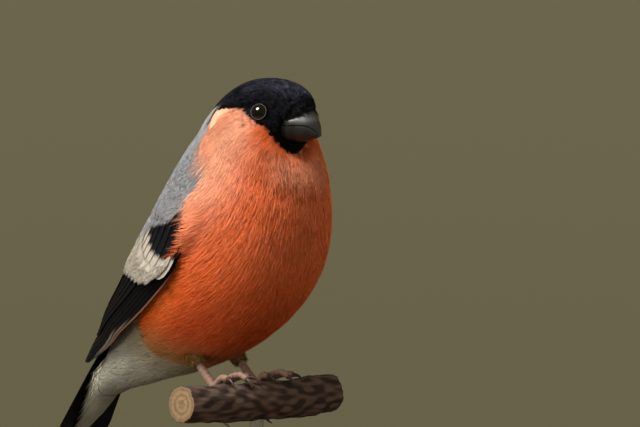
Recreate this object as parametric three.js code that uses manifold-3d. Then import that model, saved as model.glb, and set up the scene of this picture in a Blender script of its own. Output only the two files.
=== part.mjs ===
// A male bullfinch, life size, gripping a short cut twig on a plain display stand.
// Millimetres, +Z up. The bird faces +X and its left side is +Y.
// The origin is the centre of the underside of the base.

import * as THREE from 'three';
import { mergeVertices } from 'three/addons/utils/BufferGeometryUtils.js';
import Module from 'manifold-3d';

const wasm = await Module();
wasm.setup();

// Driving dimensions. The bird is drawn from the middle of the line between its feet, which stands
// FOOT_HEIGHT above the floor and FOOT_OFFSET ahead of the base's centre.
const GAP = 0.3;
const SLIVER = 0.1;
const FOOT_HEIGHT = 38;
const FOOT_OFFSET = 8;
const FOOT_SPREAD = 9;
const BODY_ROUNDNESS = 2.1;
const BILL_ROUNDNESS = 2.1;
const BILL_RIDGE = 1.5;
const EYE = { x: 17.8, z: 83.6, radius: 3.2, aperture: 2.45, lid: 0.5 };
const PERCH = { x: 6.2, z: -4.6, radius: 6.3, length: 64 };
const TAIL = { x: -43.6, z: 29.0, slope: 57, length: 60, feathers: 12, tipHalfWidth: 7.6 };
const BASE = { length: 104, width: 78, thickness: 9, edge: 1.6, rod: 4.4, foot: 9 };

// Body sections from the bill to the undertail, seen from the feet:
// back point x and z, belly point x and z, half width, and where the widest line lies.
const BODY_SECTIONS = [
  [27.7, 86.1, 21.0, 74.8, 4.8, 0.5],
  [26.6, 88.7, 21.0, 73.6, 6.6, 0.5],
  [23.0, 91.4, 21.6, 72.2, 8.2, 0.5],
  [17.5, 93.1, 22.6, 70.8, 10.0, 0.48],
  [11.0, 93.5, 23.8, 68.8, 12.0, 0.47],
  [4.7, 92.5, 25.2, 66.2, 14.2, 0.46],
  [-1.2, 89.5, 26.5, 63.0, 16.6, 0.46],
  [-6.1, 84.8, 27.3, 59.0, 18.9, 0.46],
  [-10.2, 78.8, 27.5, 54.2, 20.7, 0.46],
  [-14.7, 71.2, 27.1, 48.4, 22.8, 0.47],
  [-20.1, 62.0, 26.0, 41.6, 24.4, 0.48],
  [-25.4, 52.6, 23.3, 34.0, 25.1, 0.48],
  [-30.7, 44.1, 18.0, 26.2, 24.7, 0.48],
  [-35.4, 37.0, 10.2, 18.6, 23.1, 0.48],
  [-39.6, 31.4, 0.0, 11.8, 20.1, 0.48],
  [-43.5, 26.2, -11.0, 6.8, 16.6, 0.48],
  [-47.0, 21.2, -22.4, 3.2, 13.1, 0.48],
  [-50.0, 15.9, -33.2, 0.9, 10.6, 0.48],
  [-53.0, 10.8, -42.6, -1.4, 8.7, 0.48],
  [-56.0, 6.0, -50.8, -3.2, 7.2, 0.48],
  [-59.2, 0.8, -56.4, -5.2, 5.5, 0.48],
  [-62.2, -4.2, -60.9, -6.0, 2.4, 0.48],
];

// The sheet that a folded wing lies in: the body down to the shoulder, then straight on to the tip.
const WING_SECTIONS = [
  ...BODY_SECTIONS.slice(0, 12),
  [-30.9, 44.1, 18.2, 26.2, 25.4, 0.48],
  [-36.6, 36.2, 6.0, 20.0, 24.2, 0.48],
  [-42.3, 28.9, -10.0, 15.0, 21.2, 0.48],
  [-48.2, 22.8, -25.4, 11.2, 17.1, 0.48],
  [-53.2, 16.6, -38.0, 8.0, 12.8, 0.48],
  [-58.8, 10.9, -51.3, 5.5, 8.8, 0.48],
  [-63.8, 5.2, -60.8, 1.8, 5.8, 0.48],
];

// Bill sections from the face to the tip, in the same form
const BILL_SECTIONS = [
  [26.9, 84.9, 21.7, 75.2, 4.5, 0.5],
  [28.8, 84.6, 23.1, 74.7, 4.6, 0.5],
  [30.4, 83.2, 25.3, 74.6, 4.2, 0.52],
  [31.6, 81.2, 27.7, 74.9, 3.3, 0.54],
  [32.6, 78.8, 30.0, 75.6, 2.0, 0.56],
  [33.4, 76.3, 32.6, 76.0, 0.45, 0.5],
];

const rad = THREE.MathUtils.degToRad;

function point(x, y, z) {
  return new THREE.Vector3(x, y, z);
}

// A smooth round form drawn through sections. u counts the sections, angle is in degrees
// from the back round to the belly, and lift stands off the surface.
class Form {
  constructor(sections, roundness, backRoundness = roundness) {
    this.sections = sections;
    this.power = 2 / roundness;
    this.backPower = 2 / backRoundness;
    this.outwards = this.slopeCross(this.last / 2, 90).y < 0 ? -1 : 1;
  }

  get last() {
    return this.sections.length - 1;
  }

  row(u) {
    const rows = this.sections;
    const i = Math.min(Math.max(Math.floor(u), 0), this.last - 1);
    const t = u - i;
    const b = rows[i];
    const c = rows[i + 1];
    const a = rows[i - 1] ?? b.map((v, n) => 2 * v - c[n]);
    const d = rows[i + 2] ?? c.map((v, n) => 2 * v - b[n]);
    return b.map((v, n) => 0.5 * (2 * v + (c[n] - a[n]) * t
      + (2 * a[n] - 5 * v + 4 * c[n] - d[n]) * t * t
      + (3 * v - a[n] - 3 * c[n] + d[n]) * t * t * t));
  }

  on(u, angle) {
    const [bx, bz, vx, vz, width, split] = this.row(u);
    const cx = vx + split * (bx - vx);
    const cz = vz + split * (bz - vz);
    const c = Math.cos(rad(angle));
    const s = Math.sin(rad(angle));
    const power = c >= 0 ? this.backPower : this.power;
    const along = Math.sign(c) * Math.abs(c) ** power;
    const across = Math.sign(s) * Math.abs(s) ** power;
    const dx = c >= 0 ? bx - cx : cx - vx;
    const dz = c >= 0 ? bz - cz : cz - vz;
    return point(cx + dx * along, width * across, cz + dz * along);
  }

  slopes(u, angle) {
    const step = 0.02;
    const du = this.on(u + step, angle).sub(this.on(u - step, angle)).divideScalar(2 * step);
    const da = this.on(u, angle + 1).sub(this.on(u, angle - 1)).divideScalar(2);
    return { du, da };
  }

  slopeCross(u, angle) {
    const { du, da } = this.slopes(u, angle);
    return du.cross(da);
  }

  normal(u, angle) {
    return this.slopeCross(u, angle).normalize().multiplyScalar(this.outwards);
  }

  lifted(u, angle, lift) {
    return this.on(u, angle).addScaledVector(this.normal(u, angle), lift);
  }
}

const body = new Form(BODY_SECTIONS, BODY_ROUNDNESS);
const wingSheet = new Form(WING_SECTIONS, BODY_ROUNDNESS);
const billForm = new Form(BILL_SECTIONS, BILL_ROUNDNESS, BILL_RIDGE);

// Closed meshes

function meshOf(points, faces) {
  const geometry = new THREE.BufferGeometry();
  const numbers = points.flatMap(p => [p.x, p.y, p.z]);
  geometry.setAttribute('position', new THREE.Float32BufferAttribute(numbers, 3));
  geometry.setIndex(faces.flat());
  return geometry;
}

// A tube of rings, closed at both ends by a fan round each end's own centre
function ringLoft(rings) {
  const sides = rings[0].length;
  const points = rings.flat();
  const faces = [];
  for (let i = 0; i < rings.length - 1; i++) {
    for (let j = 0; j < sides; j++) {
      const a = i * sides + j;
      const b = i * sides + (j + 1) % sides;
      faces.push([a, b, b + sides], [a, b + sides, a + sides]);
    }
  }
  const ends = [[rings[0], 0, true], [rings.at(-1), points.length - sides, false]];
  for (const [ring, start, flip] of ends) {
    const centre = ring.reduce((sum, p) => sum.add(p), point(0, 0, 0)).divideScalar(sides);
    const hub = points.push(centre) - 1;
    for (let j = 0; j < sides; j++) {
      const a = start + j;
      const b = start + (j + 1) % sides;
      faces.push(flip ? [hub, b, a] : [hub, a, b]);
    }
  }
  return meshOf(points, faces);
}

// A thin plate between two grids of points that are split alike
function plate(top, bottom) {
  const rows = top.length;
  const columns = top[0].length;
  const points = [...top.flat(), ...bottom.flat()];
  const under = rows * columns;
  const faces = [];
  for (let i = 0; i < rows - 1; i++) {
    for (let j = 0; j < columns - 1; j++) {
      const a = i * columns + j;
      const b = a + 1;
      const c = b + columns;
      const d = a + columns;
      faces.push([a, b, c], [a, c, d]);
      faces.push([under + c, under + b, under + a], [under + d, under + c, under + a]);
    }
  }
  const rim = [];
  for (let j = 0; j < columns - 1; j++) rim.push([j, j + 1]);
  for (let i = 0; i < rows - 1; i++) rim.push([(i + 1) * columns - 1, (i + 2) * columns - 1]);
  for (let j = columns - 1; j > 0; j--) rim.push([(rows - 1) * columns + j, (rows - 1) * columns + j - 1]);
  for (let i = rows - 1; i > 0; i--) rim.push([i * columns, (i - 1) * columns]);
  for (const [a, b] of rim) faces.push([b, a, under + a], [b, under + a, under + b]);
  return meshOf(points, faces);
}

// A round rod along a smooth curve, its radius given from 0 at the start to 1 at the end
function taperedRod(path, radiusAt, steps, sides) {
  const curve = new THREE.CatmullRomCurve3(path);
  const frames = curve.computeFrenetFrames(steps, false);
  const rings = [];
  for (let i = 0; i <= steps; i++) {
    const centre = curve.getPointAt(i / steps);
    const radius = radiusAt(i / steps, i);
    const ring = [];
    for (let j = 0; j < sides; j++) {
      const turn = 2 * Math.PI * j / sides;
      ring.push(centre.clone()
        .addScaledVector(frames.normals[i], radius * Math.cos(turn))
        .addScaledVector(frames.binormals[i], radius * Math.sin(turn)));
    }
    rings.push(ring);
  }
  return ringLoft(rings);
}

// Solids

function signedVolume(points, index) {
  let sum = 0;
  const at = i => point(points[3 * i], points[3 * i + 1], points[3 * i + 2]);
  for (let i = 0; i < index.length; i += 3) {
    sum += at(index[i]).dot(at(index[i + 1]).cross(at(index[i + 2])));
  }
  return sum;
}

function solid(geometry) {
  const bare = geometry.clone();
  for (const name of Object.keys(bare.attributes)) {
    if (name !== 'position') bare.deleteAttribute(name);
  }
  const merged = mergeVertices(bare, 1e-4);
  const vertProperties = new Float32Array(merged.attributes.position.array);
  const triVerts = new Uint32Array(merged.index.array);
  if (signedVolume(vertProperties, triVerts) < 0) {
    for (let i = 0; i < triVerts.length; i += 3) {
      [triVerts[i + 1], triVerts[i + 2]] = [triVerts[i + 2], triVerts[i + 1]];
    }
  }
  return new wasm.Manifold(new wasm.Mesh({ numProp: 3, vertProperties, triVerts }));
}

function joined(solids) {
  return solids.reduce((sum, next) => sum.add(next));
}

function largest(whole) {
  return whole.decompose().reduce((best, piece) => (piece.volume() > best.volume() ? piece : best));
}

function geometryOf(whole) {
  const { vertProperties, triVerts } = largest(largest(whole).simplify(SLIVER)).getMesh();
  const geometry = new THREE.BufferGeometry();
  geometry.setAttribute('position', new THREE.BufferAttribute(new Float32Array(vertProperties), 3));
  geometry.setIndex(new THREE.BufferAttribute(new Uint32Array(triVerts), 1));
  geometry.computeVertexNormals();
  return geometry;
}

// A repeatable draw between -1 and 1
function draws(seed) {
  let state = seed;
  return () => {
    state = (state * 1103515245 + 12345) % 2147483648;
    return 2 * state / 2147483648 - 1;
  };
}

// Body, head and neck

function formLoft(form, from, to, steps, sides, lift = 0) {
  const rings = [];
  for (let i = 0; i <= steps; i++) {
    const u = from + (to - from) * i / steps;
    const ring = [];
    for (let j = 0; j < sides; j++) ring.push(form.lifted(u, 360 * j / sides, lift));
    rings.push(ring);
  }
  return ringLoft(rings);
}

const BODY_STEPS = 42;
const BODY_SIDES = 32;
const wholeBody = solid(formLoft(body, 0, body.last, BODY_STEPS, BODY_SIDES));
const bodyClearance = solid(formLoft(body, 0, body.last, BODY_STEPS, BODY_SIDES, GAP));

// A cut across the body through two points in the middle plane, as a normal and its distance
function crossCut(xa, za, xb, zb) {
  const normal = point(za - zb, 0, xb - xa).normalize();
  return { normal: normal.toArray(), distance: normal.dot(point(xa, 0, za)) };
}

const HEAD_CUT = crossCut(-10, 82.5, 24.5, 69.3);
const NECK_CUT = crossCut(-18, 67.5, 28.4, 53.5);

function above(whole, cut) {
  return whole.trimByPlane(cut.normal, cut.distance + GAP / 2);
}

function below(whole, cut) {
  return whole.trimByPlane(cut.normal.map(v => -v), -cut.distance + GAP / 2);
}

// Where the eye's line meets the side of the head
function eyeSeat(side) {
  let best = null;
  for (let u = 1.5; u < 6; u += 0.05) {
    for (let angle = 60; angle < 120; angle += 1) {
      const p = body.on(u, side * angle);
      const miss = Math.hypot(p.x - EYE.x, p.z - EYE.z);
      if (!best || miss < best.miss) best = { miss, p, normal: body.normal(u, side * angle) };
    }
  }
  return best;
}

function eyeCentre(side) {
  const seat = eyeSeat(side);
  const depth = Math.sqrt(EYE.radius ** 2 - EYE.aperture ** 2);
  return seat.p.clone().addScaledVector(seat.normal, -depth);
}

function ball(centre, radius, columns, rows) {
  return new THREE.SphereGeometry(radius, columns, rows).rotateX(Math.PI / 2)
    .translate(centre.x, centre.y, centre.z);
}

function lidRing(side) {
  const seat = eyeSeat(side);
  const ring = new THREE.TorusGeometry(EYE.aperture + 0.35, EYE.lid, 5, 18);
  ring.applyQuaternion(new THREE.Quaternion().setFromUnitVectors(point(0, 0, 1), seat.normal));
  return ring.translate(seat.p.x, seat.p.y, seat.p.z);
}

function headSolid() {
  let head = above(wholeBody, HEAD_CUT);
  for (const side of [-1, 1]) head = head.add(solid(lidRing(side)));
  for (const side of [-1, 1]) head = head.subtract(solid(ball(eyeCentre(side), EYE.radius + GAP, 14, 9)));
  return head;
}

// Bill

// The line between the two halves, from the face to the tip, as x and z
const MOUTH_LINE = [
  [18, 79.4], [21.6, 79.2], [25.8, 79.6], [29, 79.5], [30.9, 79], [32, 78.1], [32.7, 77.1],
  [32.9, 75.2],
];
const NOSTRIL = { x: 27.2, y: 2.9, z: 82.5, radius: 0.75 };

function mouthSlit() {
  const curve = new THREE.SplineCurve(MOUTH_LINE.map(([x, z]) => new THREE.Vector2(x, z)));
  const middle = curve.getPoints(16);
  const depth = 16;
  const edge = shift => middle.map(p => new THREE.Vector2(p.x, p.y + shift));
  const shape = new THREE.Shape([...edge(-GAP / 2), ...edge(GAP / 2).reverse()]);
  const slit = new THREE.ExtrudeGeometry(shape, { depth, bevelEnabled: false });
  return solid(slit.rotateX(Math.PI / 2).translate(0, depth / 2, 0));
}

function billHalves() {
  let bill = solid(formLoft(billForm, 0, billForm.last, 12, 18));
  const faceCut = crossCut(20.4, 73.6, 27.4, 86.2);
  bill = bill.trimByPlane(faceCut.normal.map(v => -v), -faceCut.distance + GAP);
  for (const side of [-1, 1]) {
    const nostril = point(NOSTRIL.x, side * NOSTRIL.y, NOSTRIL.z);
    bill = bill.subtract(solid(ball(nostril, NOSTRIL.radius, 8, 6)));
  }
  const halves = bill.subtract(mouthSlit()).decompose();
  const height = piece => piece.boundingBox().max[2];
  halves.sort((a, b) => b.volume() - a.volume());
  return halves.slice(0, 2).sort((a, b) => height(b) - height(a));
}

// Feathers that lie in the wing's sheet.
// Each runs straight from its root to its tip, both given as u and angle.

// Shares of a feather's length and, at each, of its width
const LONG_VANE = [[0, 0.6], [0.35, 0.95], [0.7, 1], [0.9, 0.72], [1, 0.28]];
const SHORT_VANE = [[0, 0.7], [0.5, 1], [0.84, 0.84], [1, 0.3]];
const ROOT_SINK = 0.7;

function sheetStep(u, angle, direction, distance) {
  const { du, da } = wingSheet.slopes(u, angle);
  const uu = du.dot(du);
  const aa = da.dot(da);
  const ua = du.dot(da);
  const det = uu * aa - ua * ua;
  const gu = direction.dot(du);
  const ga = direction.dot(da);
  return [u + distance * (gu * aa - ga * ua) / det, angle + distance * (ga * uu - gu * ua) / det];
}

function sheetVane(side, { root, tip, width, lift, tilt = 0.4, thick = 0.6, bed, shape = LONG_VANE }) {
  const top = [];
  const bottom = [];
  const at = t => [root[0] + t * (tip[0] - root[0]), side * (root[1] + t * (tip[1] - root[1]))];
  for (const [t, share] of shape) {
    const [u, angle] = at(t);
    const run = wingSheet.on(...at(t + 0.02)).sub(wingSheet.on(...at(t - 0.02))).normalize();
    const outward = wingSheet.normal(u, angle).cross(run).multiplyScalar(-side);
    const half = share * width / 2;
    const sink = t === 0 && bed ? ROOT_SINK : 0;
    const rise = lift - sink - (t === 1 ? 0.1 : 0);
    const thin = t < 1 ? thick : thick * 0.7;
    const topRow = [];
    const bottomRow = [];
    for (const across of [-1, 0, 1]) {
      const spot = sheetStep(u, angle, outward, across * half);
      const height = rise + tilt * across + (across === 0 ? 0.12 : 0);
      topRow.push(wingSheet.lifted(...spot, height));
      bottomRow.push(wingSheet.lifted(...spot, bed ?? height - thin));
    }
    top.push(topRow);
    bottom.push(bottomRow);
  }
  return solid(plate(top, bottom));
}

// A row of like feathers spread evenly between its outermost and innermost one
function vaneRow(side, count, outer, inner, random) {
  const mix = (a, b, t) => a + t * (b - a);
  const vanes = [];
  for (let i = 0; i < count; i++) {
    const t = count > 1 ? i / (count - 1) : 0;
    const stray = 0.06 * random();
    vanes.push(sheetVane(side, {
      root: [mix(outer.root[0], inner.root[0], t), mix(outer.root[1], inner.root[1], t)],
      tip: [mix(outer.tip[0], inner.tip[0], t) + stray, mix(outer.tip[1], inner.tip[1], t)],
      width: mix(outer.width, inner.width, t),
      lift: mix(outer.lift, inner.lift, t),
      tilt: outer.tilt,
      bed: outer.bed,
      shape: outer.bed ? SHORT_VANE : LONG_VANE,
    }));
  }
  return vanes;
}

// The smooth pad of small feathers over the shoulder, which also fills the wing under its coverts:
// u, outer angle, inner angle and how far it stands off the body
const PAD_OUTLINE = [
  [8.3, 62, 27, 0.9], [8.6, 80, 20, 1.5], [9.1, 92, 16, 2.1], [9.8, 98, 14, 2.5], [10.5, 97, 14, 2.4],
  [11.2, 92, 15, 1.9], [11.9, 89, 16, 1.5],
];

function shoulderPad(side) {
  const columns = 6;
  const top = [];
  const bottom = [];
  for (const [u, outer, inner, height] of PAD_OUTLINE) {
    const topRow = [];
    const bottomRow = [];
    for (let j = 0; j <= columns; j++) {
      const b = j / columns;
      const angle = side * (outer + (inner - outer) * b);
      const crown = 1 - Math.abs(2 * b - 1) ** 5;
      topRow.push(wingSheet.lifted(u, angle, 0.85 + (height - 0.85) * crown));
      bottomRow.push(wingSheet.lifted(u, angle, -0.4));
    }
    top.push(topRow);
    bottom.push(bottomRow);
  }
  return solid(plate(top, bottom));
}

// Tips of the outer flight feathers, from the front edge inwards, as u and angle
const PRIMARY_TIPS = [
  [17.0, 80], [17.6, 74], [17.9, 67], [17.8, 60], [17.4, 54], [17.0, 49], [16.7, 44], [16.5, 40],
];

function primaries(side) {
  return PRIMARY_TIPS.map((tip, i) => sheetVane(side, {
    root: [11.6, 89 - 2.6 * i],
    tip,
    width: 5.6 + 0.2 * i,
    lift: 0.75 + 0.05 * i,
    tilt: 0.3,
  }));
}

function wingSolid(side) {
  const random = draws(side > 0 ? 11 : 7);
  const secondaries = vaneRow(side, 6,
    { root: [11.7, 72], tip: [16.4, 43], width: 7.6, lift: 1.3, tilt: 0.4 },
    { root: [11.6, 38], tip: [16.0, 27], width: 8.4, lift: 1.6 }, random);
  const tertials = vaneRow(side, 3,
    { root: [11.4, 32], tip: [15.3, 22], width: 9.5, lift: 1.9, tilt: 0.4 },
    { root: [11.2, 20], tip: [14.0, 15], width: 8.0, lift: 2.2 }, random);
  const greaterCoverts = vaneRow(side, 8,
    { root: [11.0, 84], tip: [12.6, 83], width: 6.8, lift: 2.0, tilt: 0.4, bed: 1.0 },
    { root: [10.9, 24], tip: [12.9, 20], width: 9.2, lift: 2.6 }, random);
  const primaryCoverts = vaneRow(side, 4,
    { root: [10.6, 95], tip: [12.3, 91], width: 3.6, lift: 1.6, tilt: 0.3, bed: 0.6 },
    { root: [10.6, 89], tip: [12.5, 86], width: 4.2, lift: 1.8 }, random);
  const medianCoverts = vaneRow(side, 7,
    { root: [10.2, 88], tip: [11.2, 86], width: 7.6, lift: 2.3, tilt: 0.25, bed: 1.2 },
    { root: [10.0, 27], tip: [11.3, 25], width: 9.2, lift: 2.5 }, random);
  const feathers = [...primaries(side), ...secondaries, ...tertials, ...greaterCoverts,
    ...primaryCoverts, ...medianCoverts, shoulderPad(side)];
  return joined(feathers).subtract(bodyClearance).subtract(tailRoom());
}

// Tail, laid out along its own slope: s down the tail, y across it, h above it

const tailRun = point(-Math.cos(rad(TAIL.slope)), 0, -Math.sin(rad(TAIL.slope)));
const tailUp = point(-Math.sin(rad(TAIL.slope)), 0, Math.cos(rad(TAIL.slope)));

function tailPoint(s, y, h) {
  const arch = 0.008 * y * y;
  return point(TAIL.x, y, TAIL.z).addScaledVector(tailRun, s).addScaledVector(tailUp, h - arch);
}

// The space that the wings leave for the tail: half its width at shares of its length
const ROOM_WIDTHS = [[-0.1, 5.4], [0.1, 7.3], [0.3, 7.8], [0.5, 9.2], [1, 12]];
const ROOM_TOP = 0.75;
const ROOM_DEPTH = 4;

function tailRoom() {
  const layer = h => ROOM_WIDTHS.map(([share, half]) => [-1, -0.5, 0, 0.5, 1]
    .map(across => tailPoint(share * TAIL.length, across * (half + GAP), h)));
  return solid(plate(layer(ROOM_TOP + GAP), layer(-ROOM_DEPTH)));
}

const TAIL_ROWS = [0, 0.5, 0.88, 1];
const TAIL_WIDTHS = [0.4, 0.9, 1, 0.4];

function tailVane({ rootY, tipY, start, end, width, lift, tilt, thick = 0.6, bed }) {
  const top = [];
  const bottom = [];
  TAIL_ROWS.forEach((t, i) => {
    const s = start + t * (end - start);
    const y = rootY + t * (tipY - rootY);
    const half = width * TAIL_WIDTHS[i] / 2;
    const topRow = [];
    const bottomRow = [];
    for (const across of [-1, 0, 1]) {
      const height = lift + tilt * across + (across === 0 ? 0.12 : 0);
      topRow.push(tailPoint(s, y + across * half, height));
      bottomRow.push(tailPoint(s, y + across * half, bed ?? height - thick));
    }
    top.push(topRow);
    bottom.push(bottomRow);
  });
  return solid(plate(top, bottom));
}

function tailSolid() {
  const random = draws(5);
  const feathers = [];
  for (const side of [-1, 1]) {
    for (let i = 0; i < TAIL.feathers / 2; i++) {
      const spread = i / (TAIL.feathers / 2 - 1);
      feathers.push(tailVane({
        rootY: side * (0.5 + 2.2 * spread),
        tipY: side * (1.1 + (TAIL.tipHalfWidth - 1.1) * spread),
        start: 0.4 * i,
        end: TAIL.length - 2 * (1 - spread) + 0.3 * random(),
        width: 8.2,
        lift: 0.2 - 0.3 * i + (side > 0 ? 0.15 : 0),
        tilt: -0.12 * side,
      }));
    }
    for (let i = 0; i < 3; i++) {
      feathers.push(tailVane({
        rootY: side * (0.8 + 1.6 * i),
        tipY: side * (1.1 + 2 * i),
        start: -1,
        end: 19 - 3 * i + 0.5 * random(),
        width: 5.2,
        lift: 0.75 - 0.15 * i,
        tilt: -0.1 * side,
        bed: -0.9,
      }));
    }
  }
  return joined(feathers).subtract(bodyClearance);
}

// Legs and feet

const HEEL = point(-14.6, FOOT_SPREAD, 11.6);
const ANKLE_END = point(-6.9, FOOT_SPREAD, 3.4);
const FOOT_JOINT = point(-2.6, FOOT_SPREAD, -0.7);

function mirrored(path, side) {
  return path.map(p => point(p.x, side * p.y, p.z));
}

function thighSolid(side) {
  const path = mirrored([HEEL.clone().add(point(-3, 0, 4)), HEEL, point(-9.6, FOOT_SPREAD, 6.2)], side);
  const cuff = solid(taperedRod(path, t => 3.7 - 2 * t, 6, 12));
  return cuff.subtract(bodyClearance);
}

// The shank, ringed at the front by its scutes
function tarsusSolid(side) {
  const start = point(-9.6, FOOT_SPREAD, 6.2);
  const toFoot = FOOT_JOINT.clone().sub(start).normalize();
  const path = mirrored([start.addScaledVector(toFoot, GAP), ANKLE_END, FOOT_JOINT], side);
  const shank = radius => (t, i) => radius * (1 + 0.07 * (i % 2)) + 0.25 * t * t;
  return solid(taperedRod(path, shank(1.12), 14, 10));
}

// Toe paths over the perch for the left foot, three forward and one back, and the tip of each claw
const TOES = [
  {
    path: [[-1.6, 0, -0.2], [0.9, 0, 1.3], [4.5, 0, 3.1], [8.0, 0, 3.8], [10.9, 0, 2.7]],
    claw: [13.2, 0, 0.2],
  },
  {
    path: [[-1.6, -0.9, -0.3], [0.6, -2.2, 1.2], [3.6, -3.6, 2.9], [7.0, -4.8, 3.1]],
    claw: [10.4, -5.6, 1.6],
  },
  {
    path: [[-1.6, 0.9, -0.3], [0.6, 2.2, 1.2], [4.0, 3.8, 2.9], [7.8, 5.2, 3.0]],
    claw: [11.2, 6.0, 1.2],
  },
  {
    path: [[-1.9, 0, -1.6], [-2.4, 0.1, -4.4], [-1.5, 0.2, -7.4], [0.4, 0.2, -9.9]],
    claw: [3.6, 0.2, -12.0],
  },
];

function toePath(toe, side) {
  return toe.path.map(([x, y, z]) => point(x, side * (FOOT_SPREAD + y), z));
}

function clawPath(toe, side) {
  const path = toePath(toe, side);
  const from = path.at(-1);
  const run = from.clone().sub(path.at(-2)).normalize();
  const to = point(toe.claw[0], side * (FOOT_SPREAD + toe.claw[1]), toe.claw[2]);
  const bend = from.clone().addScaledVector(run, 0.45 * from.distanceTo(to));
  const middle = from.clone().add(to).multiplyScalar(0.5).lerp(bend, 0.5);
  return [from.clone().addScaledVector(run, -0.8), middle, to];
}

function footSolid(side, perch) {
  const pieces = [solid(ball(mirrored([FOOT_JOINT], side)[0].add(point(1.0, 0, 0.1)), 1.65, 10, 8))];
  for (const toe of TOES) {
    const knuckles = (t, i) => 1.12 - 0.22 * t + 0.1 * (i % 2);
    pieces.push(solid(taperedRod(toePath(toe, side), knuckles, 8, 6)));
    pieces.push(solid(taperedRod(clawPath(toe, side), t => 0.85 - 0.68 * t, 4, 6)));
  }
  const run = FOOT_JOINT.clone().sub(ANKLE_END).normalize();
  const foot = joined(pieces).trimByPlane(run.toArray(), run.dot(FOOT_JOINT) + GAP);
  return foot.subtract(perch);
}

// Perch and stand

// A cut twig with rings of old leaf scars, thinner towards its right end
function twig(extra) {
  const half = PERCH.length / 2;
  const bends = [[0, -1, 0.6], [0.5, -0.5, 0], [0, 0, 0], [-0.3, 0.5, 0], [0, 1, 1]];
  const at = bends.map(([x, share, z]) => point(PERCH.x + x, share * half, PERCH.z + z));
  const scar = t => 0.35 * Math.exp(-(((t - 0.86) / 0.03) ** 2));
  const radius = t => PERCH.radius - 0.5 + 0.7 * t - 0.4 * t * t + scar(t);
  return solid(taperedRod(at, t => radius(t) + extra, 22, 16));
}

function rodSolid() {
  const top = PERCH.z - PERCH.radius + 2;
  const bottom = BASE.thickness - FOOT_HEIGHT + GAP;
  const shaft = new THREE.CylinderGeometry(BASE.rod / 2, BASE.rod / 2, top - bottom, 16)
    .rotateX(Math.PI / 2).translate(PERCH.x, 0, (top + bottom) / 2);
  const collar = new THREE.CylinderGeometry(BASE.foot / 2 - 0.8, BASE.foot / 2, 3, 20)
    .rotateX(Math.PI / 2).translate(PERCH.x, 0, bottom + 1.5);
  return solid(shaft).add(solid(collar)).subtract(twig(GAP));
}

function baseSolid() {
  const half = BASE.length / 2;
  const { thickness, edge } = BASE;
  const profile = [[0, 0], [half - edge, 0], [half, edge], [half, thickness - edge],
    [half - 0.4 * edge, thickness - 0.4 * edge], [half - edge, thickness], [0, thickness]];
  const turned = new THREE.LatheGeometry(profile.map(([r, z]) => new THREE.Vector2(r, z)), 32);
  return solid(turned.rotateX(Math.PI / 2).scale(1, BASE.width / BASE.length, 1));
}

// The model

const COLOURS = {
  cap: 0x15151d, breast: 0xd0562f, back: 0x8c8f92, flight: 0x111114, bill: 0x2c2c2e, eye: 0x080606,
  leg: 0x8a5f45, belly: 0xb4512d, bark: 0x5b4a40, metal: 0x8d8f92, wood: 0x3a2a1f,
};

const group = new THREE.Group();
const bird = new THREE.Group();
bird.position.set(FOOT_OFFSET, 0, FOOT_HEIGHT);
group.add(bird);

function place(parent, name, whole, color, roughness, metalness = 0) {
  const material = new THREE.MeshStandardMaterial({ color, roughness, metalness });
  const mesh = new THREE.Mesh(geometryOf(whole), material);
  mesh.name = name;
  parent.add(mesh);
}

const [billUpper, billLower] = billHalves();
place(bird, 'head', headSolid(), COLOURS.cap, 0.6);
place(bird, 'neck', below(above(wholeBody, NECK_CUT), HEAD_CUT), COLOURS.breast, 0.85);
place(bird, 'torso', below(wholeBody, NECK_CUT), COLOURS.belly, 0.85);
place(bird, 'bill_upper', billUpper, COLOURS.bill, 0.4);
place(bird, 'bill_lower', billLower, COLOURS.bill, 0.4);
place(bird, 'tail', tailSolid(), COLOURS.flight, 0.5);

const perchClearance = twig(GAP);
for (const [side, word] of [[-1, 'right'], [1, 'left']]) {
  place(bird, `eye_${word}`, solid(ball(eyeCentre(side), EYE.radius, 16, 10)), COLOURS.eye, 0.1);
  place(bird, `wing_${word}`, wingSolid(side), COLOURS.back, 0.7);
  place(bird, `thigh_${word}`, thighSolid(side), COLOURS.belly, 0.85);
  place(bird, `tarsus_${word}`, tarsusSolid(side), COLOURS.leg, 0.6);
  place(bird, `foot_${word}`, footSolid(side, perchClearance), COLOURS.leg, 0.6);
}

place(bird, 'stand_perch', twig(0), COLOURS.bark, 0.9);
place(bird, 'stand_rod', rodSolid(), COLOURS.metal, 0.35, 0.9);
place(group, 'stand_base', baseSolid(), COLOURS.wood, 0.5);

export default group;
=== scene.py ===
"""Looks for a life-size male bullfinch on a cut twig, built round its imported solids.

Shapes are worked out in millimetres in the bird's own frame, where the feet grip the twig near
the origin, +X is the way the bird faces, +Y its left side and +Z up. They become metres in the
model's frame as each mesh is made.
"""

import logging
import math
from collections.abc import Callable, Sequence
from dataclasses import dataclass, field, replace
from enum import Enum

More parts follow.
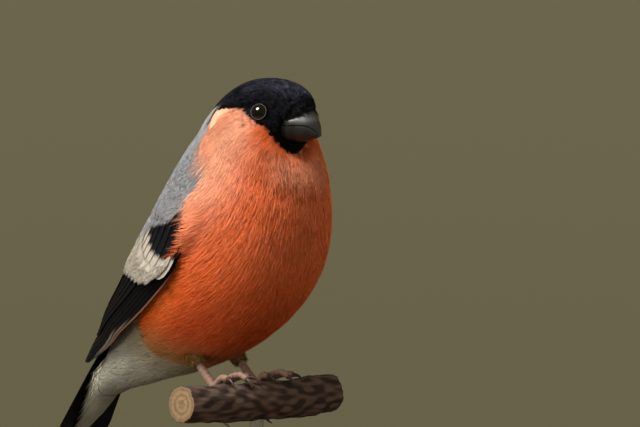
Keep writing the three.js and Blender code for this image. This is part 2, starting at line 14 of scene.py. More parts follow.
import bpy
import numpy as np
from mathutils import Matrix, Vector

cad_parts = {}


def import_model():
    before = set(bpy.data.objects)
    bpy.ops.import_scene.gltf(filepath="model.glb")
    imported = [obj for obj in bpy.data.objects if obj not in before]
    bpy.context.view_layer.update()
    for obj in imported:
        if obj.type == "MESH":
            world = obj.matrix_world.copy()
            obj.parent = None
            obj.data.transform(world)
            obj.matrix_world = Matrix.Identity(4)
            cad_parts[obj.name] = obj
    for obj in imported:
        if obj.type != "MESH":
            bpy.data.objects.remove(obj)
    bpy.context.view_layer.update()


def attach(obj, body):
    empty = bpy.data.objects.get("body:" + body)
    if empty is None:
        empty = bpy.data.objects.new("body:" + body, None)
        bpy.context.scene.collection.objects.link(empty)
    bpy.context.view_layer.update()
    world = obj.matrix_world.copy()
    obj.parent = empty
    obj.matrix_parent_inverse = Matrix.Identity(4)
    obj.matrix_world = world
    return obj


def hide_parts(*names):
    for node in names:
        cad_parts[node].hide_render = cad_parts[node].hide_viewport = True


Array = np.ndarray
LOG = logging.getLogger("bullfinch")
MM = 0.001
BIRD_ORIGIN = np.array([8.0, 0.0, 38.0])
BAKE_MAP = "OFBake"
VANE_MAP = "Vane"
TONE = "tone"
PATCH = 0.003
ROOT = "root"


def srgb(red: float, green: float, blue: float) -> Array:
    """A colour given as 0 to 255 screen values, in linear light."""
    c = np.array([red, green, blue]) / 255
    return np.where(c <= 0.04045, c / 12.92, ((c + 0.055) / 1.055) ** 2.4)


def unit(vectors: Array) -> Array:
    """Vectors scaled to length one."""
    return vectors / (np.linalg.norm(vectors, axis=-1, keepdims=True) + 1e-12)


def smooth(value: Array, low: float, high: float) -> Array:
    """A soft step from 0 at low to 1 at high."""
    t = np.clip((value - low) / (high - low), 0, 1)
    return t * t * (3 - 2 * t)


def table(pairs: Sequence[tuple[float, float]], value: Array) -> Array:
    """Reads a list of (place, amount) pairs at value, in straight lines."""
    places, amounts = zip(*pairs)
    return np.interp(value, places, amounts)


def blend(first: Array, second: Array, share: Array | float) -> Array:
    """Goes from first to second by a share from 0 to 1."""
    return first * (1 - share) + second * share


def from_back(turn: Array) -> Array:
    """How far a turn is from the back, on either side, in degrees from 0 to 180."""
    return np.abs((turn + 180) % 360 - 180)


def circle(count: int) -> Array:
    """Angles in radians, spread evenly round a circle."""
    return np.arange(count) * 2 * np.pi / count


def dye(red: float, green: float, blue: float) -> Array:
    """A class field that starts as a colour given as 0 to 255 screen values."""
    return field(default_factory=lambda: srgb(red, green, blue))


def with_ends(knots: Array) -> Array:
    """Rows of knots with a spare row, in line with them, before and after."""
    return np.vstack([2 * knots[0] - knots[1], knots, 2 * knots[-1] - knots[-2]])


def curve(knots: Array, place: Array) -> Array:
    """Reads a smooth curve.

    Args:
        knots: The rows that it runs through, with their spare rows.
        place: Where to read it, 0 at the first true row and 1 more at each next one.

    Returns:
        A row for each place.
    """
    place = np.asarray(place, float)
    i = np.clip(np.floor(place).astype(int), 0, len(knots) - 4)
    t = (place - i)[..., None]
    a, b, c, d = (knots[i + k] for k in range(4))
    bend = (2 * a - 5 * b + 4 * c - d) * t ** 2 + (3 * b - a - 3 * c + d) * t ** 3
    return 0.5 * (2 * b + (c - a) * t + bend)


def ripple(points: Array, size: float, seed: int, waves: int = 9) -> Array:
    """Soft repeatable unevenness over space.

    Args:
        points: Places, in mm.
        size: Rough distance between bumps, in mm.
        seed: Which unevenness.
        waves: How many waves cross.

    Returns:
        A value from about -1 to 1 at each place.
    """
    rng = np.random.default_rng(seed)
    ways = unit(rng.normal(size=(waves, 3))) * rng.uniform(0.6, 1.6, (waves, 1)) * 2 * np.pi / size
    phases = rng.uniform(0, 2 * np.pi, waves)
    return np.sin(points @ ways.T + phases).sum(-1) / math.sqrt(waves) / 1.3


def grid_faces(rows: int, columns: int, wrap: bool = False, start: int = 0) -> Array:
    """Triangles over a grid of points in rows.

    Args:
        rows: Number of rows.
        columns: Points in each row.
        wrap: Whether a row closes on itself.
        start: Number of the grid's first point.

    Returns:
        The triangles, as point numbers.
    """
    i, j = np.meshgrid(np.arange(rows - 1), np.arange(columns if wrap else columns - 1), indexing="ij")
    a = i * columns + j
    b = i * columns + (j + 1) % columns
    quads = np.stack([a, b, b + columns, a, b + columns, a + columns], -1).reshape(-1, 3)
    return quads + start


@dataclass
class Shape:
    """A mesh in the making: points in mm, triangles, and a colour and a map place for each point."""

    points: Array
    faces: Array
    tones: Array
    places: Array
    vanes: Array | None = None

    @staticmethod
    def of(points: Array, faces: Array, tone: Array, places: Array | None = None,
           vanes: Array | None = None) -> "Shape":
        """Makes a shape whose tone may be one colour for all its points.

        Args:
            points: The points, in a grid of any kind.
            faces: The triangles.
            tone: One colour, or one for each point.
            places: Where each point is on the map for baking, or None for its corner.
            vanes: Where each point is on the map of the barbs, or None.

        Returns:
            The shape.
        """
        points = points.reshape(-1, 3)
        tones = np.broadcast_to(tone, points.shape) if np.ndim(tone) == 1 else tone.reshape(-1, 3)
        if places is None:
            places = np.zeros((len(points), 2))
        return Shape(points, faces, tones, places.reshape(-1, 2), vanes)

    @staticmethod
    def joined(shapes: Sequence["Shape"]) -> "Shape":
        """Puts several shapes together.

        Args:
            shapes: The shapes.

        Returns:
            One shape, which keeps the map of the barbs where all of them have one.
        """
        starts = np.cumsum([0] + [len(s.points) for s in shapes[:-1]])
        has_vanes = all(s.vanes is not None for s in shapes)
        return Shape(
            np.concatenate([s.points for s in shapes]),
            np.concatenate([s.faces + n for s, n in zip(shapes, starts)]),
            np.concatenate([s.tones for s in shapes]),
            np.concatenate([s.places for s in shapes]),
            np.concatenate([s.vanes for s in shapes]) if has_vanes else None,
        )

    def turned_out(self) -> "Shape":
        """The same closed shape, with its faces turned outwards."""
        a, b, c = (self.points[self.faces[:, k]] for k in range(3))
        if np.einsum("ij,ij->i", a, np.cross(b, c)).sum() < 0:
            self.faces = self.faces[:, ::-1]
        return self

    def place(self, name: str, finish: "Finish", crease: float | None = None) -> bpy.types.Object:
        """Makes the Blender object.

        Args:
            name: Its name.
            finish: Its surface.
            crease: Angle in degrees over which an edge stays sharp, or None for none.

        Returns:
            The new object.
        """
        mesh = bpy.data.meshes.new(name)
        mesh.vertices.add(len(self.points))
        mesh.loops.add(self.faces.size)
        mesh.polygons.add(len(self.faces))
        metres = (self.points + BIRD_ORIGIN) * MM
        mesh.vertices.foreach_set("co", metres.astype(np.float32).ravel())
        mesh.loops.foreach_set("vertex_index", self.faces.astype(np.int32).ravel())
        mesh.polygons.foreach_set("loop_start", np.arange(0, self.faces.size, 3, dtype=np.int32))
        mesh.update(calc_edges=True)
        mesh.shade_smooth()
        if crease is not None:
            mesh.set_sharp_from_angle(angle=math.radians(crease))
        rgba = np.ones((len(self.points), 4), np.float32)
        rgba[:, :3] = np.clip(self.tones, 0, 1)
        mesh.color_attributes.new(TONE, "FLOAT_COLOR", "POINT").data.foreach_set("color", rgba.ravel())
        corners = self.faces.ravel()
        bake = mesh.uv_layers.new(name=BAKE_MAP)
        bake.data.foreach_set("uv", self.places[corners].astype(np.float32).ravel())
        if self.vanes is not None:
            vane = mesh.uv_layers.new(name=VANE_MAP)
            vane.data.foreach_set("uv", self.vanes[corners].astype(np.float32).ravel())
        mesh.materials.append(finish.material())
        thing = bpy.data.objects.new(name, mesh)
        bpy.context.scene.collection.objects.link(thing)
        LOG.info("%s: %d triangles", name, len(self.faces))
        return thing

    def make(self, name: str, finish: "Finish", slot: str,
             stands_for: Sequence[str] = (), crease: float | None = None) -> bpy.types.Object:
        """Makes a piece of the model, which rides on the part's one body.

        Args:
            name: The piece's name.
            finish: Its surface.
            slot: The record's slot for that surface. It is not used.
            stands_for: The solids' nodes that it takes the place of.
            crease: Angle in degrees over which an edge stays sharp, or None for none.

        Returns:
            The new object.
        """
        thing = self.place(name, finish, crease)
        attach(thing, ROOT)
        if stands_for:
            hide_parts(*stands_for)
        return thing


# Sizes shared with the solids. A section holds the x and z of its back and of its breast, half its width,
# and the share of the way from breast to back at which it is widest.

BODY_SECTIONS = (
    (27.7, 86.1, 21.0, 74.8, 4.8, 0.5), (26.6, 88.7, 21.0, 73.6, 6.6, 0.5),
    (23.0, 91.4, 21.6, 72.2, 8.2, 0.5), (17.5, 93.1, 22.6, 70.8, 10.0, 0.48),
    (11.0, 93.5, 23.8, 68.8, 12.0, 0.47), (4.7, 92.5, 25.2, 66.2, 14.2, 0.46),
    (-1.2, 89.5, 26.5, 63.0, 16.6, 0.46), (-6.1, 84.8, 27.3, 59.0, 18.9, 0.46),
    (-10.2, 78.8, 27.5, 54.2, 20.7, 0.46), (-14.7, 71.2, 27.1, 48.4, 22.8, 0.47),
    (-20.1, 62.0, 26.0, 41.6, 24.4, 0.48), (-25.4, 52.6, 23.3, 34.0, 25.1, 0.48),
    (-30.7, 44.1, 18.0, 26.2, 24.7, 0.48), (-35.4, 37.0, 10.2, 18.6, 23.1, 0.48),
    (-39.6, 31.4, 0.0, 11.8, 20.1, 0.48), (-43.5, 26.2, -11.0, 6.8, 16.6, 0.48),
    (-47.0, 21.2, -22.4, 3.2, 13.1, 0.48), (-50.0, 15.9, -33.2, 0.9, 10.6, 0.48),
    (-53.0, 10.8, -42.6, -1.4, 8.7, 0.48), (-56.0, 6.0, -50.8, -3.2, 7.2, 0.48),
    (-59.2, 0.8, -56.4, -5.2, 5.5, 0.48), (-62.2, -4.2, -60.9, -6.0, 2.4, 0.48),
)
WING_SECTIONS = BODY_SECTIONS[:12] + (
    (-30.9, 44.1, 18.2, 26.2, 25.4, 0.48), (-36.6, 36.2, 6.0, 20.0, 24.2, 0.48),
    (-42.3, 28.9, -10.0, 15.0, 21.2, 0.48), (-48.2, 22.8, -25.4, 11.2, 17.1, 0.48),
    (-53.2, 16.6, -38.0, 8.0, 12.8, 0.48), (-58.8, 10.9, -51.3, 5.5, 8.8, 0.48),
    (-63.8, 5.2, -60.8, 1.8, 5.8, 0.48),
)
BILL_SECTIONS = (
    (26.9, 84.9, 21.7, 75.2, 4.5, 0.5), (28.8, 84.6, 23.1, 74.7, 4.6, 0.5),
    (30.4, 83.2, 25.3, 74.6, 4.2, 0.52), (31.6, 81.2, 27.7, 74.9, 3.3, 0.54),
    (32.6, 78.8, 30.0, 75.6, 2.0, 0.56), (33.4, 76.3, 32.6, 76.0, 0.45, 0.5),
)
MOUTH_LINE = (
    (18, 79.4), (21.6, 79.2), (25.8, 79.6), (29, 79.5), (30.9, 79), (32, 78.1), (32.7, 77.1), (32.9, 75.2))
EYE_PLACE = (17.8, 83.6)
EYE_RADIUS = 3.2
EYE_APERTURE = 2.45
FOOT_SPREAD = 9.0
HEEL = (-14.6, 11.6)
SHANK_TOP = (-9.6, 6.2)
ANKLE_END = (-6.9, 3.4)
FOOT_JOINT = (-2.6, -0.7)
PERCH = (6.2, -4.6)
PERCH_RADIUS = 6.3
PERCH_LENGTH = 64.0
TAIL_START = (-43.6, 29.0)
TAIL_SLOPE = math.radians(57)
TAIL_LENGTH = 60.0
TAIL_ARCH = 0.008
BASE_SIZE = (104.0, 78.0, 9.0)
ROD_RADIUS = 2.2
COLLAR_RADIUS = 4.5
FLOOR = -BIRD_ORIGIN[2]
SIDE_NAMES = {-1: "right", 1: "left"}


class Surface:
    """Something round that feathers grow on, where u runs along it and turn goes round it."""

    sign = 1.0

    def on(self, u: Array, turn: Array) -> Array:
        """The points at u and turn."""
        raise NotImplementedError

    def slopes(self, u: Array, turn: Array) -> tuple[Array, Array, Array]:
        """How a point moves with u and with turn, and which way is out.

        Args:
            u: Places along it.
            turn: Places round it.

        Returns:
            The three ways at each place.
        """
        step = 0.02
        du = (self.on(u + step, turn) - self.on(u - step, turn)) / (2 * step)
        da = (self.on(u, turn + 1) - self.on(u, turn - 1)) / 2
        return du, da, unit(np.cross(du, da)) * self.sign

    def lifted(self, u: Array, turn: Array, lift: Array | float) -> Array:
        """Points that stand off the surface by lift."""
        return self.on(u, turn) + self.slopes(u, turn)[2] * np.asarray(lift)[..., None]

    def gauge(self, u: Array, turn: Array) -> tuple[tuple[Array, Array], tuple[Array, Array]]:
        """How u and turn change for each mm along the surface and for each mm across it.

        Args:
            u: Places along it.
            turn: Places round it.

        Returns:
            The changes along it and the changes across it.
        """
        du, da, out = self.slopes(u, turn)
        along = unit(du)
        across = np.cross(out, along)
        across *= np.sign((across * da).sum(-1, keepdims=True))
        return self.solve(du, da, along), self.solve(du, da, across)

    @staticmethod
    def solve(du: Array, da: Array, way: Array) -> tuple[Array, Array]:
        """The change in u and turn that moves a point by way.

        Args:
            du: How a point moves with u.
            da: How it moves with turn.
            way: How it is to move.

        Returns:
            The two changes.
        """
        uu, aa, ua = (du * du).sum(-1), (da * da).sum(-1), (du * da).sum(-1)
        gu, ga = (way * du).sum(-1), (way * da).sum(-1)
        det = uu * aa - ua * ua + 1e-9
        return (gu * aa - ga * ua) / det, (ga * uu - gu * ua) / det


class Form(Surface):
    """A smooth round form drawn through sections, with turn in degrees from the back."""

    def __init__(self, sections: Sequence[Sequence[float]], roundness: float,
                 back_roundness: float | None = None) -> None:
        """Keeps the sections, with one more past each end, and finds which way is out.

        Args:
            sections: The sections, in the order that u counts them.
            roundness: Power of the outline of the breast's side, 2 for an ellipse.
            back_roundness: The same for the back's side, where it differs.
        """
        self.rows = with_ends(np.array(sections, float))
        self.last = len(sections) - 1
        self.power = 2 / roundness
        self.back_power = 2 / (back_roundness or roundness)
        middle = np.array(self.last / 2)
        if self.slopes(middle, np.array(90.0))[2][1] < 0:
            self.sign = -1.0

    def on(self, u: Array, turn: Array) -> Array:
        """Finds the points at u and turn.

        Args:
            u: Places along it.
            turn: Places round it.

        Returns:
            The points.
        """
        bx, bz, vx, vz, width, split = np.moveaxis(curve(self.rows, u), -1, 0)
        cx, cz = vx + split * (bx - vx), vz + split * (bz - vz)
        c, s = np.cos(np.radians(turn)), np.sin(np.radians(turn))
        power = np.where(c >= 0, self.back_power, self.power)
        along = np.sign(c) * np.abs(c) ** power
        across = np.sign(s) * np.abs(s) ** power
        dx = np.where(c >= 0, bx - cx, cx - vx)
        dz = np.where(c >= 0, bz - cz, cz - vz)
        return np.stack([cx + dx * along, width * across, cz + dz * along], -1)


class Limb(Surface):
    """A round rod along a smooth path, with u from 0 to 1 along it."""

    def __init__(self, path: Sequence[Sequence[float]], radius: Callable[[Array], Array]) -> None:
        """Smooths the path and carries a steady frame along it.

        Args:
            path: Points that it runs through.
            radius: Its radius along it, from 0 to 1.
        """
        knots = np.array(path, float)
        line = curve(with_ends(knots), np.linspace(0, len(knots) - 1 - 1e-9, 24 * len(knots)))
        gone = np.concatenate([[0], np.cumsum(np.linalg.norm(np.diff(line, axis=0), axis=1))])
        self.length = float(gone[-1])
        self.shares = gone / gone[-1]
        self.line = line
        self.radius = radius
        runs = unit(np.gradient(line, axis=0))
        side = unit(np.cross(runs[0], [0.0, 1.0, 0.0]) + 1e-6)
        sides = []
        for run in runs:
            side = unit(side - run * (side @ run))
            sides.append(side)
        self.sides = np.array(sides)
        self.others = np.cross(runs, self.sides)
        if self.slopes(np.array(0.5), np.array(0.0))[2] @ self.at(self.sides, np.array(0.5)) < 0:
            self.sign = -1.0

    def at(self, rows: Array, u: Array) -> Array:
        """Reads rows of three numbers, kept along the path, at u."""
        return np.stack([np.interp(u, self.shares, rows[:, k]) for k in range(3)], -1)

    def on(self, u: Array, turn: Array) -> Array:
        """Finds the points at u and turn.

        Args:
            u: Places along it.
            turn: Places round it.

        Returns:
            The points.
        """
        a = np.radians(turn)[..., None]
        way = self.at(self.sides, u) * np.cos(a) + self.at(self.others, u) * np.sin(a)
        past = np.asarray(u, float) - np.clip(u, 0, 1)
        run = unit(self.line[-1] - self.line[-3])
        spare = (past * self.length)[..., None] * run
        return self.at(self.line, u) + spare + way * self.radius(np.clip(u, 0, 1))[..., None]

    def tube(self, rows: int, sides: int, swell: Callable[[Array, Array], Array] | None = None,
             tone: Array | Callable[[Array, Array], Array] = srgb(128, 128, 128)) -> Shape:
        """The rod as a closed mesh, with each end closed by a flat fan.

        Args:
            rows: Rings along it.
            sides: Points round each ring.
            swell: Extra height at (u, turn), or None.
            tone: One colour, or the colours at (u, turn).

        Returns:
            The closed shape.
        """
        u, turn = np.meshgrid(np.linspace(0, 1, rows), np.arange(sides) * 360 / sides, indexing="ij")
        points = self.lifted(u, turn, swell(u, turn) if swell else 0 * u)
        return closed_tube(points, tone(u, turn) if callable(tone) else tone)


def closed_tube(rings: Array, tone: Array) -> Shape:
    """Closes a tube of rings with a fan at each end.

    Args:
        rings: Points, by ring and then round it.
        tone: One colour, or one for each point.

    Returns:
        The closed shape, mapped by ring and side.
    """
    rows, sides = rings.shape[:2]
    hubs = np.stack([rings[0].mean(0), rings[-1].mean(0)])
    faces = [grid_faces(rows, sides, wrap=True)]
    for hub, first in ((rows * sides, 0), (rows * sides + 1, (rows - 1) * sides)):
        j = np.arange(sides)
        fan = np.stack([np.full(sides, hub), first + (j + 1) % sides, first + j], -1)
        faces.append(fan if first == 0 else fan[:, ::-1])
    tones = np.broadcast_to(tone, rings.shape).reshape(-1, 3)
    tones = np.vstack([tones, tones[:1], tones[-1:]])
    i, j = np.meshgrid(np.linspace(0.02, 0.98, rows), np.linspace(0.02, 0.98, sides), indexing="ij")
    places = np.vstack([np.stack([j, i], -1).reshape(-1, 2), [[0.5, 0.01], [0.5, 0.99]]])
    points = np.vstack([rings.reshape(-1, 3), hubs])
    return Shape(points, np.concatenate(faces), tones, places).turned_out()


BODY = Form(BODY_SECTIONS, 2.1)
SHEET = Form(WING_SECTIONS, 2.1)
BILL = Form(BILL_SECTIONS, 2.1, 1.5)


def eye_seat(side: int) -> tuple[Array, Array]:
    """Finds where the eye meets the side of the head.

    Args:
        side: 1 for the left eye and -1 for the right.

    Returns:
        The place, and the way that the eye looks.
    """
    u, turn = np.meshgrid(np.arange(1.5, 6, 0.02), side * np.arange(60, 120, 0.5), indexing="ij")
    points = BODY.on(u, turn)
    miss = np.hypot(points[..., 0] - EYE_PLACE[0], points[..., 2] - EYE_PLACE[1])
    k = np.unravel_index(miss.argmin(), miss.shape)
    return points[k], BODY.slopes(u[k], turn[k])[2]


# Finishes


class Grain(Enum):
    """The fine pattern that a finish has."""

    BARBS = "barbs"
    CLOUDS = "clouds"
    STREAKS = "streaks"
    RINGS = "rings"


@dataclass(frozen=True)
class Finish:
    """A surface: the tone carried by the mesh, varied and roughened by a grain whose size is in mm."""

    name: str
    grain: Grain
    roughness: float
    size: float
    uneven: float
    rough_spread: float
    bump: float
    specular: float
    tint: tuple[float, float, float] = (1.0, 1.0, 1.0)
    metallic: float = 0.0
    sheen: float = 0.0
    ior: float = 1.5

    def pattern(self, tree: bpy.types.NodeTree) -> bpy.types.NodeSocket:
        """Adds the nodes of the grain.

        Args:
            tree: The material's nodes.

        Returns:
            The socket of its strength, from 0 to 1.
        """
        if self.grain is Grain.BARBS:
            place = tree.nodes.new("ShaderNodeUVMap")
            place.uv_map = VANE_MAP
            wave = tree.nodes.new("ShaderNodeTexWave")
            wave.wave_type = "BANDS"
            wave.bands_direction = "Y"
            set_inputs(wave, {"Scale": 1 / self.size, "Distortion": 1.2, "Detail": 2.0})
            tree.links.new(place.outputs["UV"], wave.inputs["Vector"])
            return wave.outputs["Fac"]
        place = tree.nodes.new("ShaderNodeTexCoord")
        scale = tree.nodes.new("ShaderNodeMapping")
        stretch = {Grain.STREAKS: (1.0, 0.12, 1.0), Grain.RINGS: (1.0, 1.0, 8.0)}
        set_inputs(scale, {"Scale": stretch.get(self.grain, (1.0, 1.0, 1.0))})
        noise = tree.nodes.new("ShaderNodeTexNoise")
        set_inputs(noise, {"Scale": 1 / (self.size * MM), "Detail": 5.0, "Roughness": 0.6})
        tree.links.new(place.outputs["Object"], scale.inputs["Vector"])
        tree.links.new(scale.outputs["Vector"], noise.inputs["Vector"])
        return noise.outputs["Fac"]

    def material(self) -> bpy.types.Material:
        """The Blender material of this finish, made the first time that it is asked for."""
        found = bpy.data.materials.get(self.name)
        if found:
            return found
        material = bpy.data.materials.new(self.name)
        material.use_nodes = True
        tree = material.node_tree
        shader = tree.nodes["Principled BSDF"]
        set_inputs(shader, {
            "Metallic": self.metallic, "IOR": self.ior, "Specular IOR Level": self.specular,
            "Specular Tint": (*self.tint, 1.0), "Sheen Weight": self.sheen, "Sheen Roughness": 0.4})
        strength = self.pattern(tree)
        tone = tree.nodes.new("ShaderNodeAttribute")
        tone.attribute_name = TONE
        colour = tree.nodes.new("ShaderNodeVectorMath")
        colour.operation = "SCALE"
        tree.links.new(tone.outputs["Color"], colour.inputs[0])
        tree.links.new(spread_about(tree, strength, 1.0, self.uneven), colour.inputs["Scale"])
        tree.links.new(colour.outputs["Vector"], shader.inputs["Base Color"])
        rough = spread_about(tree, strength, self.roughness, self.rough_spread)
        tree.links.new(rough, shader.inputs["Roughness"])
        bump = tree.nodes.new("ShaderNodeBump")
        set_inputs(bump, {"Strength": 1.0, "Distance": self.bump * MM})
        tree.links.new(strength, bump.inputs["Height"])
        tree.links.new(bump.outputs["Normal"], shader.inputs["Normal"])
        return material


def set_inputs(node: bpy.types.Node, values: dict[str, float | tuple[float, ...]]) -> None:
    """Puts constant values on a node's sockets."""
    for name, value in values.items():
        node.inputs[name].default_value = value


def spread_about(tree: bpy.types.NodeTree, strength: bpy.types.NodeSocket, middle: float,
                 reach: float) -> bpy.types.NodeSocket:
    """Turns a strength from 0 to 1 into an amount.

    Args:
        tree: The material's nodes.
        strength: The socket to read.
        middle: The amount half way.
        reach: How far the amount goes to either side.

    Returns:
        The socket of the amount.
    """
    node = tree.nodes.new("ShaderNodeMapRange")
    set_inputs(node, {"To Min": middle - reach, "To Max": middle + reach})
    tree.links.new(strength, node.inputs["Value"])
    return node.outputs["Result"]


SOFT_FEATHER = Finish(
    "soft_feather", Grain.CLOUDS, roughness=0.85, size=2.5, uneven=0.07, rough_spread=0.05, bump=0.0,
    specular=0.04)
GREY_FEATHER = Finish(
    "grey_feather", Grain.CLOUDS, roughness=0.75, size=2.0, uneven=0.1, rough_spread=0.05, bump=0.0,
    specular=0.1)
WHITE_FEATHER = Finish(
    "white_feather", Grain.CLOUDS, roughness=0.8, size=2.0, uneven=0.08, rough_spread=0.05, bump=0.0,
    specular=0.08, sheen=0.04)
CAP_FEATHER = Finish(
    "cap_feather", Grain.CLOUDS, roughness=0.42, size=1.5, uneven=0.25, rough_spread=0.08, bump=0.0,
    specular=0.4, tint=(0.85, 0.82, 1.0), ior=1.22)
VANE_FEATHER = Finish(
    "vane_feather", Grain.BARBS, roughness=0.5, size=0.32, uneven=0.14, rough_spread=0.08, bump=0.02,
    specular=0.4, tint=(0.9, 0.88, 1.0), ior=1.2)
SKIN = Finish(
    "feathered_skin", Grain.CLOUDS, roughness=0.85, size=0.8, uneven=0.3, rough_spread=0.05, bump=0.2,
    specular=0.1)
HORN = Finish(
    "satin_horn", Grain.STREAKS, roughness=0.36, size=0.5, uneven=0.3, rough_spread=0.08, bump=0.03,
    specular=0.25)
EYE_GLOSS = Finish(
    "eye_gloss", Grain.CLOUDS, roughness=0.05, size=0.6, uneven=0.3, rough_spread=0.02, bump=0.0,
    specular=0.5)
LID = Finish(
    "eye_lid", Grain.CLOUDS, roughness=0.7, size=0.15, uneven=0.35, rough_spread=0.1, bump=0.04,
    specular=0.05)
LEG_SKIN = Finish(
    "scaled_skin", Grain.CLOUDS, roughness=0.55, size=0.7, uneven=0.3, rough_spread=0.1, bump=0.08,
    specular=0.25)
CLAW = Finish(
    "claw_horn", Grain.STREAKS, roughness=0.35, size=0.6, uneven=0.25, rough_spread=0.08, bump=0.02,
    specular=0.35)
BARK = Finish(
    "twig_bark", Grain.STREAKS, roughness=0.88, size=1.6, uneven=0.35, rough_spread=0.08, bump=0.35,
    specular=0.2)
STEEL = Finish(
    "brushed_steel", Grain.RINGS, roughness=0.34, size=0.8, uneven=0.08, rough_spread=0.08, bump=0.01,
    specular=0.5, metallic=1.0)
WAXED_WOOD = Finish(
    "waxed_wood", Grain.STREAKS, roughness=0.5, size=3.0, uneven=0.35, rough_spread=0.1, bump=0.05,
    specular=0.35)
TABLE = Finish(
    "table_top", Grain.CLOUDS, roughness=0.85, size=9.0, uneven=0.08, rough_spread=0.05, bump=0.05,
    specular=0.2)


# Feathers of the body


RING_PLACES = {2: np.array([0, 0.6, 1]), 3: np.array([0, 0.42, 0.8, 1])}
MAP_EDGE = 0.001


def deep(values: Array) -> Array:
    """One value for each tuft, made ready to meet its strands and their rings."""
    return values[:, None, None]


@dataclass(frozen=True)
class Tuft:
    """How one kind of small feather is built, as a fan of thin closed strands. Sizes in mm.

    A strand starts at the height sunk and ends at rise. The shares loose and stray say how far
    strands leave the sheet and the fan, mottle how much their tones differ at random, depth the
    painted shade that darkens a strand towards its root, where it lies under others, and lightens
    it a little at its tip, and taper how its width changes from root to tip.
    """

    length: float
    fan: float
    strands: int
    strand: float
    rings: int
    sunk: float
    rise: float
    loose: float
    stray: float
    mottle: float
    # Painted shade: strands darker at the root, where they lie under others, a little lighter at the tip.
    depth: tuple[tuple[float, float], ...] = ((0, 0.86), (0.5, 0.98), (1, 1.05))
    taper: tuple[tuple[float, float], ...] = ((0, 0.8), (0.4, 1.0), (0.8, 0.62), (1, 0))

    def grow(self, surface: Surface, u: Array, turn: Array, swing: Array, size: Array, tone: Array,
             tip: Array, rng: np.random.Generator,
             cover: Callable[[Array, Array], Array] | None = None,
             span: tuple[float, float] = (0.0, 1.0)) -> Shape:
        """Grows a tuft at each root.

        Args:
            surface: What it grows on.
            u: Where each root is, along the surface.
            turn: Where each root is, round the surface.
            swing: Angle in radians from the surface's own run towards more turn.
            size: Each tuft's length as a share of the usual one.
            tone: Colour at each root.
            tip: Colour at each tip.
            rng: Source of chance.
            cover: Height of what already lies at (u, turn), or None.
            span: Lowest u on the map, and the map's height for one u.

        Returns:
            All the strands, each closed.
        """
        count, k, t = len(u), self.strands, RING_PLACES[self.rings]
        spread = np.linspace(-1, 1, k) + rng.normal(0, 0.6 / k, (count, k))
        run, over = self.fanned(spread, t, swing, size, rng)
        along_step, across_step = surface.gauge(u, turn)
        uu = deep(u) + run * deep(along_step[0]) + over * deep(across_step[0])
        tt = deep(turn) + run * deep(along_step[1]) + over * deep(across_step[1])
        lift = self.sunk + (self.rise - self.sunk) * t ** 0.6
        lift = lift + np.abs(rng.normal(0, self.loose, (count, k, 1))) * (0.3 + t)
        if cover is not None:
            lift = lift + cover(uu, tt)
        out = surface.slopes(uu, tt)[2]
        points = self.sheathed(surface.on(uu, tt) + out * lift[..., None], out, t, rng)
        # Painted shade along each strand from the depth table, times a random mottle of its tone.
        shade = rng.normal(1, self.mottle, (count, k, 1, 1)) * table(self.depth, t)[:, None]
        # Partly painted highlight: each strand goes to its paler tip colour by a random share, so a few
        # stand out bright as where light catches them.
        glint = 0.1 + 0.9 * rng.uniform(0, 1, (count, k, 1, 1)) ** 2.4
        mix = glint * (t ** 1.5)[:, None]
        tones = self.by_point(shade * blend(tone[:, None, None], tip[:, None, None], mix))
        shares = self.by_point(np.broadcast_to(t, (count, k, len(t)))[..., None])[..., 0]
        place_x = deep(turn / 360 + 0.5) % 1 + PATCH * 0.5 * np.clip(spread, -1, 1)[..., None]
        place_y = deep(span[0] + u * span[1]) + PATCH * (shares - 0.5)
        places = np.stack([np.broadcast_to(place_x, place_y.shape), place_y], -1)
        starts = deep(np.arange(count * k)) * points.shape[2]
        return Shape(points.reshape(-1, 3), (self.strand_faces()[None] + starts).reshape(-1, 3),
                     tones.reshape(-1, 3), np.clip(places, MAP_EDGE, 1 - MAP_EDGE).reshape(-1, 2))

    def fanned(self, spread: Array, t: Array, swing: Array, size: Array,
               rng: np.random.Generator) -> tuple[Array, Array]:
        """Lays the strands of each tuft out as a fan.

        Args:
            spread: Where each strand is in its fan, from -1 to 1.
            t: Share of a strand's length at each ring.
            swing: Each tuft's way, in radians.
            size: Each tuft's length as a share of the usual one.
            rng: Source of chance.

        Returns:
            How far each ring lies along and across the surface from its root, in mm.
        """
        length = (self.length * size)[:, None]
        start = length * rng.uniform(0, 0.3, spread.shape)
        end = length * (1 - 0.2 * spread ** 2 + rng.normal(0, 0.07, spread.shape))
        along = start[..., None] + (end - start)[..., None] * t
        curl = rng.normal(0, self.stray, (*spread.shape, 1)) * length[..., None]
        side = deep(self.fan * np.sqrt(size)) * spread[..., None] * (0.35 + 0.65 * t ** 0.9) + curl * t ** 2
        c, s = deep(np.cos(swing)), deep(np.sin(swing))
        return along * c - side * s, along * s + side * c

    def sheathed(self, spine: Array, out: Array, t: Array, rng: np.random.Generator) -> Array:
        """Puts a ring of three points round each point of a spine but the last, its tip.

        Args:
            spine: The middle of each strand.
            out: The way off the surface there.
            t: Share of the strand's length.
            rng: Source of chance.

        Returns:
            The points of each strand.
        """
        run = np.gradient(spine, axis=2)
        across = unit(np.cross(out, run))
        width = self.strand * table(self.taper, t)
        width = (width * rng.uniform(0.75, 1.25, (*spine.shape[:2], 1)))[..., None]
        half, ridge = across * width, unit(np.cross(run, across)) * (0.55 * width)
        rings = np.stack([spine - half, spine + half, spine + ridge], 3)[:, :, :-1]
        return np.concatenate([rings.reshape(*spine.shape[:2], -1, 3), spine[:, :, -1:]], 2)

    @staticmethod
    def by_point(rows: Array) -> Array:
        """Values kept by ring, given to the three points of each ring and to the tip."""
        return np.concatenate([np.repeat(rows[:, :, :-1], 3, axis=2), rows[:, :, -1:]], 2)

    @property
    def points_each(self) -> int:
        """How many points a strand has."""
        return 3 * self.rings + 1

